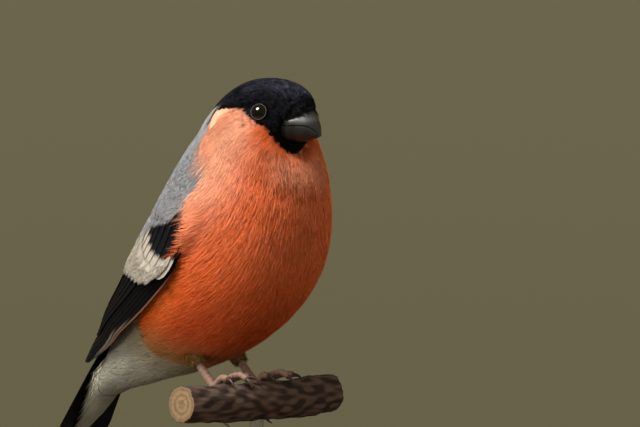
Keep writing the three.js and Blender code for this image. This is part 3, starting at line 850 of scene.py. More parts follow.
    def strand_faces(self) -> Array:
        """The triangles of one strand: rings of three points, closed at the root, and a tip."""
        faces = [[0, 1, 2]]
        for ring in range(self.rings - 1):
            for a, b in ((0, 2), (2, 1), (1, 0)):
                low, high = 3 * ring, 3 * ring + 3
                faces += [[low + a, low + b, high + b], [low + a, high + b, high + a]]
        last = 3 * (self.rings - 1)
        faces += [[last + a, last + b, last + 3] for a, b in ((0, 2), (2, 1), (1, 0))]
        return np.array(faces)


def scatter(surface: Form, pitch: float, low: float, high: float,
            rng: np.random.Generator) -> tuple[Array, Array]:
    """Places roots evenly over a form, in staggered rows.

    Args:
        surface: The form.
        pitch: Distance between roots, in mm.
        low: Lowest u.
        high: Highest u.
        rng: Source of chance.

    Returns:
        u and turn of each root.
    """
    turns = np.linspace(-180, 180, 241)
    all_u, all_turn = [], []
    u = low
    while u < high:
        here = np.full_like(turns, u)
        du = np.linalg.norm(surface.slopes(here, turns)[0], axis=-1)
        row = surface.on(here, turns)
        gone = np.concatenate([[0], np.cumsum(np.linalg.norm(np.diff(row, axis=0), axis=1))])
        count = max(int(gone[-1] / pitch), 3)
        spots = (np.arange(count) + rng.uniform(-0.4, 0.4, count) + rng.uniform()) * gone[-1] / count
        turn = np.interp(spots % gone[-1], gone, turns)
        step = pitch / du.max()
        keep = rng.uniform(size=count) < np.interp(turn, turns, du) / du.max()
        all_turn.append(turn[keep])
        all_u.append(u + rng.uniform(-0.5, 0.5, keep.sum()) * step)
        u += step
    return np.concatenate(all_u), np.concatenate(all_turn)


class Plumage(Enum):
    """The main colours of the plumage."""

    CAP = 0
    RED = 1
    GREY = 2
    WHITE = 3


@dataclass(frozen=True)
class Markings:
    """Where each colour of the plumage lies, by turn from the back and u along the body.

    An edge is a list of (turn, u), apart from flank_edge, which is one of (u, turn). Past the u and
    turn of red_flank the body is red again below the wing.
    """

    cap_edge: tuple[tuple[float, float], ...] = (
        (0, 7.0), (20, 6.9), (40, 6.45), (51, 5.85), (60, 5.3), (65, 4.95), (70, 4.72), (77, 4.6), (83, 4.5),
        (90, 4.05), (99, 3.5), (110, 3.2), (125, 2.9), (141, 2.55), (157, 2.5), (180, 2.65))
    grey_start: tuple[tuple[float, float], ...] = (
        (0, 6.9), (31, 7.08), (44, 7.34), (58, 7.67), (71, 7.95), (82, 8.15), (84, 8.5), (86, 30))
    flank_edge: tuple[tuple[float, float], ...] = (
        (8.1, 84), (8.5, 85), (9.1, 84), (9.6, 81), (10.1, 80), (10.4, 79), (10.8, 82), (11.1, 86),
        (11.4, 90), (12.0, 92), (13, 94), (16, 96))
    white_start: tuple[tuple[float, float], ...] = (
        (0, 12.3), (55, 12.4), (62, 13.2), (76, 14.65), (83, 15.15), (95, 15.5), (124, 15.6), (140, 15.4),
        (180, 15.3))
    red_flank: tuple[float, float] = (11.6, 62)
    cap: Array = dye(11, 11, 12)
    # A painted sheen: the blue gloss that light raises on the black crown.
    sheen: Array = dye(92, 88, 108)
    red: Array = dye(206, 94, 42)
    # A paler red, partly painted light where light falls on the cheek, the flank and the strand tips.
    peach: Array = dye(248, 184, 150)
    deep: Array = dye(172, 50, 6)
    grey: Array = dye(150, 150, 152)
    # A dull grey-white, partly painted shade: the vent lies in shade.
    white: Array = dye(151, 147, 130)
    olive: Array = dye(116, 98, 58)
    # A brighter orange, painted light where light falls along the lower flank; it also tints the tips below.
    lit_orange: Array = dye(232, 112, 40)

    def kind(self, u: Array, turn: Array) -> Array:
        """Tells which colour lies at each place.

        Args:
            u: Places along the body.
            turn: Places round the body.

        Returns:
            The values of Plumage.
        """
        side = from_back(turn)
        found = np.full(u.shape, Plumage.RED.value)
        found[(u > table(self.grey_start, side)) & (side < table(self.flank_edge, u))] = Plumage.GREY.value
        found[(u > self.red_flank[0]) & (side > self.red_flank[1])] = Plumage.RED.value
        found[u > table(self.white_start, side)] = Plumage.WHITE.value
        found[u < table(self.cap_edge, side)] = Plumage.CAP.value
        return found

    def peachy(self, u: Array, side: Array) -> Array:
        """Tells how pale the red is: most behind the cheek, less on the flank's edge and the throat.
        The paleness is partly painted light, where light falls most on the cheek and the flank, and
        partly paler feathers.

        Args:
            u: Places along the body.
            side: Turn from the back at each place.

        Returns:
            A share from 0 to 1.
        """
        cheek = (smooth(side, 135, 74) * (0.72 + 0.28 * smooth(side, 66, 84))
                 * smooth(u, 3.0, 4.8) * smooth(u, 10.5, 6.5))
        flank = smooth(side, 118, 90) * smooth(u, 6.5, 8.5) * smooth(u, 11.6, 9.4)
        throat = smooth(side, 120, 150) * smooth(u, 2.0, 3.5) * smooth(u, 7.0, 4.5)
        return np.clip(0.85 * cheek + 0.4 * flank + 0.4 * throat, 0, 1)

    def olive_share(self, u: Array, side: Array) -> Array:
        """How olive the red is, from 0 to 1, where it meets the white of the belly."""
        return smooth(table(self.white_start, side) - u, 2.5, 0.2) * smooth(side, 92, 110)

    def colour(self, u: Array, turn: Array, kind: Array) -> Array:
        """The plumage colour at each place, with painted light in it: partly the peach behind the
        cheek, and all of the brighter orange along the lower flank.

        Args:
            u: Places along the body.
            turn: Places round the body.
            kind: The value of Plumage at each place.

        Returns:
            Linear colours.
        """
        side = from_back(turn)
        low = smooth(u, 9.5, 14.0)
        # Painted light: a brighter orange band along the lower flank, on both sides.
        lit_flank = smooth(side, 124, 100) * smooth(u, 10.0, 12.5) * smooth(u, 16.0, 14.5)
        near = smooth(u - table(self.white_start, side), 1.2, 0.0) * (side > 60)
        tones = self.red
        for other, share in ((self.peach, self.peachy(u, side)), (self.deep, 0.65 * low),
                             (self.lit_orange, 0.6 * lit_flank), (self.olive, 0.85 * self.olive_share(u, side))):
            tones = blend(tones, other, share[..., None])
        for other, which in ((self.cap, Plumage.CAP), (self.grey, Plumage.GREY),
                             (blend(self.white, self.olive, 0.6 * near[..., None]), Plumage.WHITE)):
            tones = np.where((kind == which.value)[..., None], other, tones)
        return tones


class TailUnderside(Surface):
    """The underside of the tail, where u is tens of mm down it and turn is tenths of a mm across.

    Its depth, by u, is how far the white feathers swell it in the middle, fading to half_width.
    """

    sign = -1.0
    half_width = 72
    depth = ((0, 4.0), (2.6, 5.4), (3.4, 5.0), (4.2, 3.2), (5.5, 0.4))

    def on(self, u: Array, turn: Array) -> Array:
        """Finds the points at u and turn.

        Args:
            u: Places along it.
            turn: Places round it.

        Returns:
            The points.
        """
        u, turn = np.broadcast_arrays(np.asarray(u, float), np.asarray(turn, float))
        swell = table(self.depth, u) * np.clip(1 - (turn / self.half_width) ** 2, 0, 1)
        return tail_point(10 * u, turn / 10, -1.9 - swell)


@dataclass
class Skin:
    """The one skin under the body feathers, from the face to the tail and over the thighs."""

    markings: Markings
    depth: float = 1.0
    shade: float = 0.8
    rows: int = 190
    sides: int = 120

    def build(self) -> Shape:
        """Lofts the body and the two thighs inside their feathers."""
        u, turn = np.meshgrid(np.linspace(0.02, BODY.last - 0.15, self.rows),
                              np.arange(self.sides) * 360 / self.sides - 180, indexing="ij")
        # Painted shade: the skin takes the plumage colours darkened by shade, and the thighs' skin is olive
        # at half strength, so that gaps between feathers look shaded.
        tones = self.markings.colour(u, turn, self.markings.kind(u, turn)) * self.shade
        body = closed_tube(BODY.lifted(u, turn, -self.depth), tones)
        thighs = [thigh(side).tube(16, 20, lambda u, turn: 0 * u - self.depth / 2, self.markings.olive * 0.5)
                  for side in SIDE_NAMES]
        return Shape.joined([body, *thighs])

    def dress(self) -> None:
        """Makes the skin in place of the solids of the flesh."""
        self.build().make("skin", SKIN, "breast_feathers",
                          ("head", "neck", "torso", "thigh_right", "thigh_left"))


def thigh(side: int) -> Limb:
    """Lays out the feathered cuff at the top of a leg.

    Args:
        side: 1 for the left leg and -1 for the right.

    Returns:
        The cuff, thinner towards the foot.
    """
    y = side * FOOT_SPREAD
    path = ((HEEL[0] - 3, y, HEEL[1] + 4), (HEEL[0], y, HEEL[1]), (SHANK_TOP[0], y, SHANK_TOP[1]))
    return Limb(path, lambda t: 3.7 - 2 * t)


@dataclass(frozen=True)
class Patch:
    """A stretch of the coat in one colour, with roots a pitch apart from the lowest u to the highest."""

    name: str
    kind: Plumage
    low: float
    high: float
    pitch: float
    tuft: Tuft
    finish: Finish
    slot: str
    form: Form = BODY

    @property
    def on_face(self) -> bool:
        """Whether it comes near the eyes."""
        return self.low < 6


PATCHES = (
    Patch("cap", Plumage.CAP, 0.0, 7.2, 0.7,
          Tuft(length=3.2, fan=0.55, strands=6, strand=0.07, rings=2, sunk=-0.4, rise=0.2,
               loose=0.04, stray=0.04, mottle=0.28), CAP_FEATHER, "cap_feathers"),
    Patch("cheek", Plumage.RED, 2.0, 7.0, 0.95,
          Tuft(length=4.8, fan=0.9, strands=11, strand=0.06, rings=2, sunk=-0.45, rise=0.2,
               loose=0.03, stray=0.03, mottle=0.06), SOFT_FEATHER, "breast_feathers"),
    Patch("breast", Plumage.RED, 6.3, 15.6, 1.25,
          Tuft(length=9.6, fan=1.5, strands=9, strand=0.085, rings=3, sunk=-0.55, rise=0.28,
               loose=0.04, stray=0.025, mottle=0.08), SOFT_FEATHER, "breast_feathers"),
    Patch("mantle", Plumage.GREY, 6.6, 12.4, 1.3,
          Tuft(length=7.0, fan=1.4, strands=9, strand=0.1, rings=3, sunk=-0.5, rise=0.25,
               loose=0.03, stray=0.025, mottle=0.05), GREY_FEATHER, "wing_feathers", SHEET),
    Patch("vent", Plumage.WHITE, 11.8, 20.3, 1.4,
          Tuft(length=7.6, fan=1.7, strands=9, strand=0.13, rings=2, sunk=-0.6, rise=0.4,
               loose=0.1, stray=0.05, mottle=0.06), WHITE_FEATHER, "breast_feathers"),
)
WISPS = (
    Patch("wisps", Plumage.RED, 6.2, 15.0, 2.1,
          Tuft(length=12.0, fan=1.8, strands=4, strand=0.05, rings=3, sunk=-0.3, rise=0.5,
               loose=0.08, stray=0.03, mottle=0.12), SOFT_FEATHER, "breast_feathers"),
    Patch("wisps", Plumage.RED, 2.6, 7.4, 1.6,
          Tuft(length=6.5, fan=1.2, strands=4, strand=0.045, rings=3, sunk=-0.3, rise=0.36,
               loose=0.04, stray=0.03, mottle=0.12), SOFT_FEATHER, "breast_feathers"),
)


@dataclass
class BodyCoat:
    """The small feathers over the head, breast, back and belly.

    The red starts past the turns of wing_front, by u, and the grey ends at the u of grey_end, by turn.
    The wing lies under the coat between the turns of its inner and outer edge, by u, at wing_height.
    """

    markings: Markings
    seed: int = 3
    most_faces: int = 190_000
    under: Tuft = Tuft(length=12.0, fan=2.0, strands=9, strand=0.15, rings=2, sunk=-0.8, rise=0.8,
                       loose=0.12, stray=0.05, mottle=0.06)
    wing_front: tuple[tuple[float, float], ...] = (
        (8.6, 60), (9.1, 80), (9.6, 85), (10.1, 92), (10.8, 101), (11.6, 105), (12.5, 104))
    grey_end: tuple[tuple[float, float], ...] = (
        (0, 12.3), (15, 12.2), (40, 12.1), (51, 11.84), (55, 11.51), (59, 11.28), (68, 10.93), (74, 10.8),
        (81, 10.46), (90, 10.2), (98, 10.0))
    wing_outer: tuple[tuple[float, float], ...] = (
        (8.2, 58), (8.6, 78), (9.1, 90), (9.8, 96), (10.5, 95), (11.2, 91), (12.2, 88))
    wing_inner: tuple[tuple[float, float], ...] = ((8.2, 30), (8.6, 22), (9.1, 17), (9.8, 14), (12.0, 14))
    wing_height: tuple[tuple[float, float], ...] = (
        (8.0, 0), (8.6, 0.7), (9.1, 1.1), (9.8, 1.6), (10.5, 2.3), (11.2, 2.8), (12.2, 3.2))

    def shoulder(self, u: Array, turn: Array) -> Array:
        """Tells how high the folded wing stands off the body under the small feathers.

        Args:
            u: Places along the body.
            turn: Places round the body.

        Returns:
            The height in mm.
        """
        side = from_back(turn)
        edge = (smooth(table(self.wing_outer, u) + 5 - side, 0, 9)
                * smooth(side - table(self.wing_inner, u), -4, 8))
        return table(self.wing_height, u) * edge

    def flank_cover(self, u: Array, turn: Array) -> Array:
        """The same, fading out where the wing's edge leaves the flank."""
        return 1.15 * self.shoulder(u, turn) * smooth(u, 12.2, 11.4)

    def swing(self, u: Array, turn: Array) -> Array:
        """Tells how far the lie of the feathers turns from straight down the body towards the back.

        Args:
            u: Places along the body.
            turn: Places round the body.

        Returns:
            The angle in radians, towards more turn.
        """
        side = from_back(turn)
        flank = smooth(side, 172, 125) * smooth(u, 6.5, 10.0) * 24
        edge = (smooth(side, 116, 100) * smooth(side, 88, 94)
                * smooth(u, 7.8, 8.6) * smooth(u, 12.2, 11.0) * 26)
        return np.radians(flank + edge) * -np.sign((turn + 180) % 360 - 180)

    @staticmethod
    def clear_of_eyes(shape: Shape, points_each: int) -> Shape:
        """Drops each strand that would lie over an eye.

        Args:
            shape: The strands.
            points_each: How many points a strand has.

        Returns:
            The strands that are left.
        """
        points = shape.points.reshape(-1, points_each, 3)
        keep = np.ones(len(points), bool)
        for side in SIDE_NAMES:
            keep &= (np.linalg.norm(points - eye_seat(side)[0], axis=-1) > EYE_APERTURE + 0.02).all(1)
        strand = shape.faces.reshape(len(points), -1, 3)[0]
        starts = (np.arange(keep.sum()) * points_each)[:, None, None]
        each = np.repeat(keep, points_each)
        return Shape(shape.points[each], (strand + starts).reshape(-1, 3), shape.tones[each],
                     shape.places[each])

    @staticmethod
    def near_eye(u: Array, turn: Array) -> Array:
        """Tells how much shorter feathers are round the eyes.

        Args:
            u: Roots along the body.
            turn: Roots round the body.

        Returns:
            Each one's length, as a share of the usual one.
        """
        points = BODY.on(u, turn)
        near = np.minimum(*(np.linalg.norm(points - eye_seat(side)[0], axis=-1) for side in SIDE_NAMES))
        return np.clip((near - 2.2) / 3.2, 0.3, 1)

    def rooted(self, patch: Patch, u: Array, turn: Array, rng: np.random.Generator) -> Array:
        """Tells which feathers belong to a patch, by where their tips come to lie.

        Args:
            patch: The patch.
            u: Roots along the body.
            turn: Roots round the body.
            rng: Source of chance.

        Returns:
            True for each root that is kept.
        """
        side, swing = from_back(turn), self.swing(u, turn)
        share = {Plumage.CAP: 0.9, Plumage.WHITE: 0.5}.get(patch.kind, 0.2 if patch.on_face else 0.5)
        reach = share * patch.tuft.length
        if patch.kind is Plumage.RED and not patch.on_face:
            reach = reach * (1 + 0.9 * (smooth(u, 7.6, 8.4) * smooth(side, 112, 104)))
        step_u, step_turn = patch.form.gauge(u, turn)
        ahead = reach * step_u[0] * np.cos(swing)
        keep = self.markings.kind(u + ahead, turn + reach * np.sin(swing) * step_turn[1]) == patch.kind.value
        if patch.kind is Plumage.RED:
            keep &= (side > table(self.wing_front, u)) | (u > 12.5)
        if patch.kind is Plumage.CAP:
            keep &= (u > 0.55) | (side < 82) | (side > 152)
        if patch.kind is Plumage.GREY:
            keep &= u + 1.85 * ahead < table(self.grey_end, side) + rng.normal(0, 0.06, u.shape)
        return keep

    def light(self, patch: Patch, u: Array, turn: Array, rng: np.random.Generator) -> tuple[Array, Array]:
        """Picks the paler colour that feathers take on towards their tips: partly paler feather tips
        and partly painted highlight where light catches the strands, and on the cap a painted sheen.

        Args:
            patch: The patch.
            u: Roots along the body.
            turn: Roots round the body.
            rng: Source of chance.

        Returns:
            The colour, and how much of it each tip has.
        """
        side, marks = from_back(turn), self.markings
        share = 0.25 + 0.4 * rng.uniform(0, 1, (len(u), 1)) ** 2
        if patch.kind is Plumage.CAP:
            # Painted sheen: the cap's tips take the gloss colour in streaks, only along the top of the
            # crown.
            streak = ripple(patch.form.on(u, turn) * np.array([0.2, 1.0, 1.0]), 1.7, 41)
            return marks.sheen, share * (smooth(side, 60, 30) * (1.5 + 1.8 * streak).clip(0, 2.6))[:, None]
        if patch.kind is Plumage.GREY:
            return marks.grey * 1.3, share
        if patch.kind is Plumage.WHITE:
            return marks.white * 1.2, share
        down = smooth(u, 8.5, 12.0)[:, None]
        # Red tips go paler: peach above and the painted light's orange below.
        lit_orange = marks.peach * 0.95 * (1 - 0.8 * down) + marks.lit_orange * 0.8 * down
        return blend(lit_orange, marks.olive * 1.5, marks.olive_share(u, side)[:, None]), share

    def grown(self, patch: Patch, rng: np.random.Generator) -> Shape:
        """Grows the feathers of one patch.

        Args:
            patch: The patch.
            rng: Source of chance.

        Returns:
            The strands.
        """
        u, turn = scatter(patch.form, patch.pitch, patch.low, patch.high, rng)
        keep = self.rooted(patch, u, turn, rng)
        u, turn = u[keep], turn[keep]
        tone = self.markings.colour(u, turn, np.full(u.shape, patch.kind.value))
        blot = 1 + 0.05 * ripple(patch.form.on(u, turn), 9.0, 5)[:, None] + rng.normal(0, 0.02, (len(u), 1))
        tip = blend(tone, *self.light(patch, u, turn, rng))
        size = self.near_eye(u, turn) * rng.uniform(0.85, 1.15, u.shape)
        if patch.kind is Plumage.RED:
            size *= 1 - 0.45 * smooth(from_back(turn), 104, 92) * smooth(u, 8.6, 9.4) * smooth(u, 13.0, 12.0)
        cover = self.shoulder if patch.kind is Plumage.GREY else self.flank_cover
        shape = patch.tuft.grow(patch.form, u, turn, self.swing(u, turn), size, tone * blot, tip * blot, rng,
                                cover, (0.03, 0.94 / patch.form.last))
        return self.clear_of_eyes(shape, patch.tuft.points_each) if patch.on_face else shape

    def dress(self) -> None:
        """Makes all the coat's pieces."""
        rng = np.random.default_rng(self.seed)
        for patch in PATCHES:
            self.split(self.grown(patch, rng), patch.name, patch.tuft, patch.finish, patch.slot)
        wisps = Shape.joined([self.grown(patch, rng) for patch in WISPS])
        # Painted highlight: the long wisps are made brighter and a little peach, as loose strands that catch
        # the light.
        wisps.tones = wisps.tones * 1.18 + self.markings.peach * 0.035
        self.split(wisps, WISPS[0].name, WISPS[0].tuft, WISPS[0].finish, WISPS[0].slot)
        self.split(self.under_tail(rng), "undertail", self.under, WHITE_FEATHER, "breast_feathers")

    def under_tail(self, rng: np.random.Generator) -> Shape:
        """Grows the long white feathers that lie along the tail's underside.

        Args:
            rng: Source of chance.

        Returns:
            The strands.
        """
        rows, per_row = 38, 16
        u = np.repeat(np.linspace(0.2, 4.4, rows), per_row) + rng.uniform(-0.08, 0.08, rows * per_row)
        reach = table(((0, 18), (1.4, 22), (1.9, 38), (2.5, 60), (3.0, 64), (3.6, 50), (4.4, 16)), u)
        turn = np.tile(np.linspace(-1, 1, per_row), rows) * reach + rng.uniform(-3, 3, rows * per_row)
        # Painted light: the white here is made 1.55 times brighter, to lift the shade under the tail.
        tone = self.markings.white * 1.55 * rng.uniform(0.92, 1.06, (len(u), 1))
        size = rng.uniform(0.85, 1.15, len(u))
        swing = -0.0035 * turn * (u > 2.6)
        return self.under.grow(TailUnderside(), u, turn, swing, size, tone, tone * 1.12, rng,
                               span=(0.1, 0.18))

    def split(self, shape: Shape, name: str, tuft: Tuft, finish: Finish, slot: str) -> None:
        """Makes strands as pieces of a like size, each small enough to export whole.

        Args:
            shape: The strands.
            name: What the pieces are called, before their numbers.
            tuft: How the strands are built.
            finish: Their surface.
            slot: The record's slot for that surface.
        """
        faces_each, points_each = len(tuft.strand_faces()), tuft.points_each
        pieces = math.ceil(len(shape.faces) / self.most_faces)
        bounds = np.linspace(0, len(shape.faces) // faces_each, pieces + 1).astype(int)
        for n, (first, end) in enumerate(zip(bounds[:-1], bounds[1:]), 1):
            rows = slice(first * points_each, end * points_each)
            faces = shape.faces[first * faces_each:end * faces_each] - first * points_each
            part = Shape(shape.points[rows], faces, shape.tones[rows], shape.places[rows])
            part.make(f"coat_{name}_{n}", finish, slot)


# Wings and tail


@dataclass(frozen=True)
class Vane:
    """One flat feather on the folded wing, placed by u and turn, with sizes in mm.

    Its outline is a list of (share of the length, share of the width). Its front edge stands up by tilt.
    """

    root: tuple[float, float]
    tip: tuple[float, float]
    width: float
    lift: float
    tilt: float = 0.4
    thick: float = 0.3
    rows: int = 16
    columns: int = 9
    outline: tuple[tuple[float, float], ...] = (
        (0, 0.6), (0.35, 0.95), (0.7, 1), (0.85, 0.86), (0.94, 0.62), (0.985, 0.34), (1, 0.1))

    def build(self, side: int, paint: Callable[[Array, Array], Array],
              cell: tuple[float, float]) -> Shape:
        """Builds the feather as a thin closed plate with a shaft.

        Args:
            side: 1 for the left wing and -1 for the right.
            paint: Colours at (share of length, share across from -1 to 1, + to the front edge).
            cell: The lower corner of its cell on the map, which has 8 cells a side.

        Returns:
            The closed shape.
        """
        t = np.linspace(0, 1, self.rows) ** 0.9
        across = np.linspace(-1, 1, self.columns)
        tt, aa = np.meshgrid(t, across, indexing="ij")
        u = self.root[0] + tt * (self.tip[0] - self.root[0])
        turn = side * (self.root[1] + tt * (self.tip[1] - self.root[1]))
        du, da, out = SHEET.slopes(u, turn)
        way = du * (self.tip[0] - self.root[0]) + da * side * (self.tip[1] - self.root[1])
        outward = np.cross(out, unit(way)) * -side
        half = table(self.outline, tt) * self.width / 2
        step_u, step_turn = SHEET.solve(du, da, outward)
        uu, ww = u + aa * half * step_u, turn + aa * half * step_turn
        shaft = 0.16 * np.exp(-(aa / 0.14) ** 2)
        top = self.lift + self.tilt * aa + shaft - 0.08 * aa ** 2
        under = top - self.thick * (1 - 0.6 * np.abs(aa)) - shaft
        points = np.stack([SHEET.lifted(uu, ww, top), SHEET.lifted(uu, ww, under)])
        tones = np.stack([paint(tt, aa)] * 2)
        length = np.linalg.norm(points[0, -1, 0] - points[0, 0, 0])
        return plate(points, tones, tt, aa, self.width / 2, length, cell)


def plate(points: Array, tones: Array, tt: Array, aa: Array, half: float, length: float,
          cell: tuple[float, float]) -> Shape:
    """Closes a thin plate between a top and an under grid.

    Args:
        points: The two grids.
        tones: Their colours.
        tt: Share of the length at each point.
        aa: Share across at each point.
        half: Half the width, in mm.
        length: The length, in mm.
        cell: The lower corner of its cell on the map.

    Returns:
        The closed shape, with its barbs mapped in mm.
    """
    rows, columns = tt.shape
    under = rows * columns
    rim = ([(j, j + 1) for j in range(columns - 1)]
           + [((i + 1) * columns - 1, (i + 2) * columns - 1) for i in range(rows - 1)]
           + [((rows - 1) * columns + j, (rows - 1) * columns + j - 1) for j in range(columns - 1, 0, -1)]
           + [(i * columns, (i - 1) * columns) for i in range(rows - 1, 0, -1)])
    walls = [f for a, b in rim for f in ((b, a, under + a), (b, under + a, under + b))]
    top = grid_faces(rows, columns)
    faces = np.vstack([top, top[:, ::-1] + under, walls])
    place = np.stack([cell[0] + (0.01 + 0.105 * (aa + 1) / 2), cell[1] + 0.01 + 0.105 * tt], -1)
    vane = np.stack([aa * half, tt * length + np.abs(aa) * half * -0.9], -1)
    return Shape(points.reshape(-1, 3), faces, tones.reshape(-1, 3),
                 np.stack([place] * 2).reshape(-1, 2), np.stack([vane] * 2).reshape(-1, 2)).turned_out()


Paint = Callable[[Array, Array], Array]


@dataclass
class Wing:
    """One folded wing: flight feathers, coverts over their roots, and the soft barbs of the pale bar.

    The bar reaches from bar_head to bar_foot, by turn. The black at the roots of its feathers reaches
    to bar_black, by share of the way from the front feather to the back one.
    """

    side: int
    black: Array = dye(9, 9, 10)
    bar: Array = dye(170, 161, 146)
    pink: Array = dye(164, 146, 126)
    edge: Array = dye(116, 108, 95)
    tan: Array = dye(132, 94, 72)
    barbs: int = 1900
    # The fringe's depth table is painted shade: a little darker at each barb's root, lighter at its tip.
    fringe: Tuft = Tuft(length=4.2, fan=0.5, strands=4, strand=0.1, rings=3, sunk=-0.1, rise=0.16,
                        loose=0.05, stray=0.03, mottle=0.16, depth=((0, 0.9), (0.5, 1), (1, 1.05)))
    primary_tips: tuple[tuple[float, float], ...] = (
        (17.0, 80), (17.6, 74), (17.9, 67), (17.8, 60), (17.4, 54), (17.0, 49), (16.7, 44), (16.5, 40))
    bar_foot: tuple[tuple[float, float], ...] = (
        (16, 12.4), (30, 12.7), (43, 12.85), (53, 13.03), (69, 12.91), (79, 12.83), (84, 12.66), (87, 12.2),
        (90, 11.5))
    bar_head: tuple[tuple[float, float], ...] = (
        (16, 11.1), (43, 11.3), (52, 11.5), (60, 11.85), (69, 12.04), (77, 12.07), (82, 11.97), (85, 11.74),
        (89, 11.37), (92, 11.2))
    bar_black: tuple[tuple[float, float], ...] = (
        (0, 0.62), (0.1, 0.67), (0.27, 0.61), (0.42, 0.47), (0.5, 0.3), (0.58, 0.05), (1, 0.0))
    bar_lift: tuple[tuple[float, float], ...] = ((0, 3.0), (60, 2.85), (88, 2.5))
    short: tuple[tuple[float, float], ...] = (
        (0, 0.7), (0.4, 0.97), (0.7, 1), (0.86, 0.84), (0.95, 0.55), (0.99, 0.28), (1, 0.1))

    def dark(self, tt: Array, aa: Array) -> Array:
        """Plain black, a little paler to the tip."""
        return self.black * (0.8 + 0.35 * tt)[..., None]

    def edged(self, colour: Array, from_share: float, width: float) -> Paint:
        """Black with its front edge in a pale colour.

        Args:
            colour: The pale colour.
            from_share: Share of the length at which the edge starts.
            width: Share of the half width that it takes.

        Returns:
            The paint.
        """
        def paint(tt: Array, aa: Array) -> Array:
            """The colours at shares tt of the length and aa of the half width."""
            mix = (smooth(aa, 1 - width, 1 - width * 0.3) * smooth(tt, from_share, from_share + 0.12)
                   * smooth(tt, 0.92, 0.74))
            return blend(self.dark(tt, aa), colour, mix[..., None])
        return paint

    def barred(self, share: float) -> Paint:
        """Black at the root and pale past it, rosier on the feathers towards the back.

        Args:
            share: Where the feather is, from 0 at the front to 1 at the back.

        Returns:
            The paint.
        """
        black_to = float(table(self.bar_black, share))

        def paint(tt: Array, aa: Array) -> Array:
            """The colours at shares tt of the length and aa of the half width."""
            mix = smooth(tt + 0.07 * np.abs(aa), black_to - 0.01, black_to + 0.05)[..., None]
            rosy = (share * smooth(tt, 1.0, black_to))[..., None]
            return blend(self.dark(tt, aa), blend(self.bar, self.pink, rosy) * 0.78, mix)
        return paint

    def row(self, count: int, outer: Vane, inner: Vane, first_cell: int, rng: np.random.Generator,
            barred: bool = False) -> list[Shape]:
        """Builds a row of like feathers, spread evenly.

        Args:
            count: How many there are.
            outer: The outermost one, which also gives their tilt, thickness and outline.
            inner: The innermost one.
            first_cell: The first one's cell on the map.
            rng: Source of chance.
            barred: Whether they carry the pale bar.

        Returns:
            The feathers.
        """
        shapes = []
        for i in range(count):
            share = i / (count - 1)
            ends = np.array([[*vane.root, *vane.tip, vane.width, vane.lift] for vane in (outer, inner)])
            root_u, root_turn, tip_u, tip_turn, width, lift = ends[0] + share * (ends[1] - ends[0])
            tip_u += 0.05 * rng.uniform(-1, 1)
            vane = replace(outer, root=(root_u, root_turn), tip=(tip_u, tip_turn), width=width, lift=lift)
            paint = self.barred(share) if barred else self.dark
            shapes.append(vane.build(self.side, paint, self.cell(first_cell + i)))
        return shapes

    @staticmethod
    def cell(number: int) -> tuple[float, float]:
        """The lower corner of a feather's cell on the map."""
        return (number % 8) * 0.125, (number // 8) * 0.125

    def primaries(self) -> list[Shape]:
        """The long flight feathers, of which the outer three have pale front edges."""
        shapes = []
        for i, tip in enumerate(self.primary_tips):
            vane = Vane(root=(11.6, 89 - 2.6 * i), tip=tip, width=5.6 + 0.2 * i, lift=0.75 + 0.05 * i,
                        tilt=0.3, rows=26)
            paint = self.dark
            if i == 0:
                paint = self.edged(self.tan, 0.0, 0.16)
            elif i < 3:
                paint = self.edged(self.edge, 0.3 + 0.1 * i, 0.04)
            shapes.append(vane.build(self.side, paint, self.cell(i)))
        return shapes

    def build(self) -> Shape:
        """Builds the flight feathers, the tertials, the barred coverts and the front edge's coverts."""
        rng = np.random.default_rng(11 if self.side > 0 else 7)
        shapes = self.primaries()
        shapes += self.row(6, Vane(root=(11.7, 72), tip=(16.4, 43), width=7.6, lift=1.3, rows=20),
                           Vane(root=(11.6, 38), tip=(16.0, 27), width=8.4, lift=1.6), 8, rng)
        shapes += self.row(3, Vane(root=(11.4, 32), tip=(15.3, 22), width=9.5, lift=1.9, rows=20),
                           Vane(root=(11.2, 20), tip=(14.0, 15), width=8.0, lift=2.2), 16, rng)
        shapes += self.row(12, Vane(root=(10.3, 87), tip=(12.3, 86), width=5.0, lift=2.05, rows=24,
                                    outline=self.short),
                           Vane(root=(10.9, 22), tip=(12.8, 20), width=7.4, lift=2.6), 24, rng, barred=True)
        shapes += self.row(4, Vane(root=(10.9, 91), tip=(12.0, 89), width=2.6, lift=1.3, tilt=0.2, rows=14,
                                   outline=self.short),
                           Vane(root=(10.9, 88), tip=(12.4, 86), width=3.4, lift=1.6), 40, rng)
        return Shape.joined(shapes)

    def soft_bar(self) -> Shape:
        """Grows the loose barbs that make the pale bar soft and its ends ragged."""
        rng = np.random.default_rng(43 + self.side)
        turn = rng.uniform(18, 88, self.barbs)
        share = rng.uniform(0, 1, self.barbs)
        head = table(self.bar_head, turn)
        foot = table(self.bar_foot, turn) + 0.1 * np.abs(np.sin(turn * 0.7)) - 0.08
        length = self.fringe.length * SHEET.gauge(head, turn)[0][0]
        u = head - 0.1 + share * np.maximum(foot - length * 0.95 - head + 0.1, 0)
        rosy = (smooth(turn, 60, 35) * (1 - share))[:, None]
        tone = blend(self.bar, self.pink, rosy) * rng.uniform(0.72, 1.12, (self.barbs, 1))
        lift = deep(table(self.bar_lift, turn))
        size = np.minimum(1, (foot - u) / length * 0.98)
        return self.fringe.grow(SHEET, u, self.side * turn, 0 * u, size, tone, tone * 1.1, rng,
                                lambda uu, tt: lift + 0 * uu, (0.1, 0.05))

    def dress(self) -> None:
        """Makes the wing in place of its solid."""
        word = SIDE_NAMES[self.side]
        self.build().make(f"wing_feathers_{word}", VANE_FEATHER, "wing_feathers", (f"wing_{word}",),
                          crease=50)
        self.soft_bar().make(f"wing_bar_{word}", GREY_FEATHER, "wing_feathers")


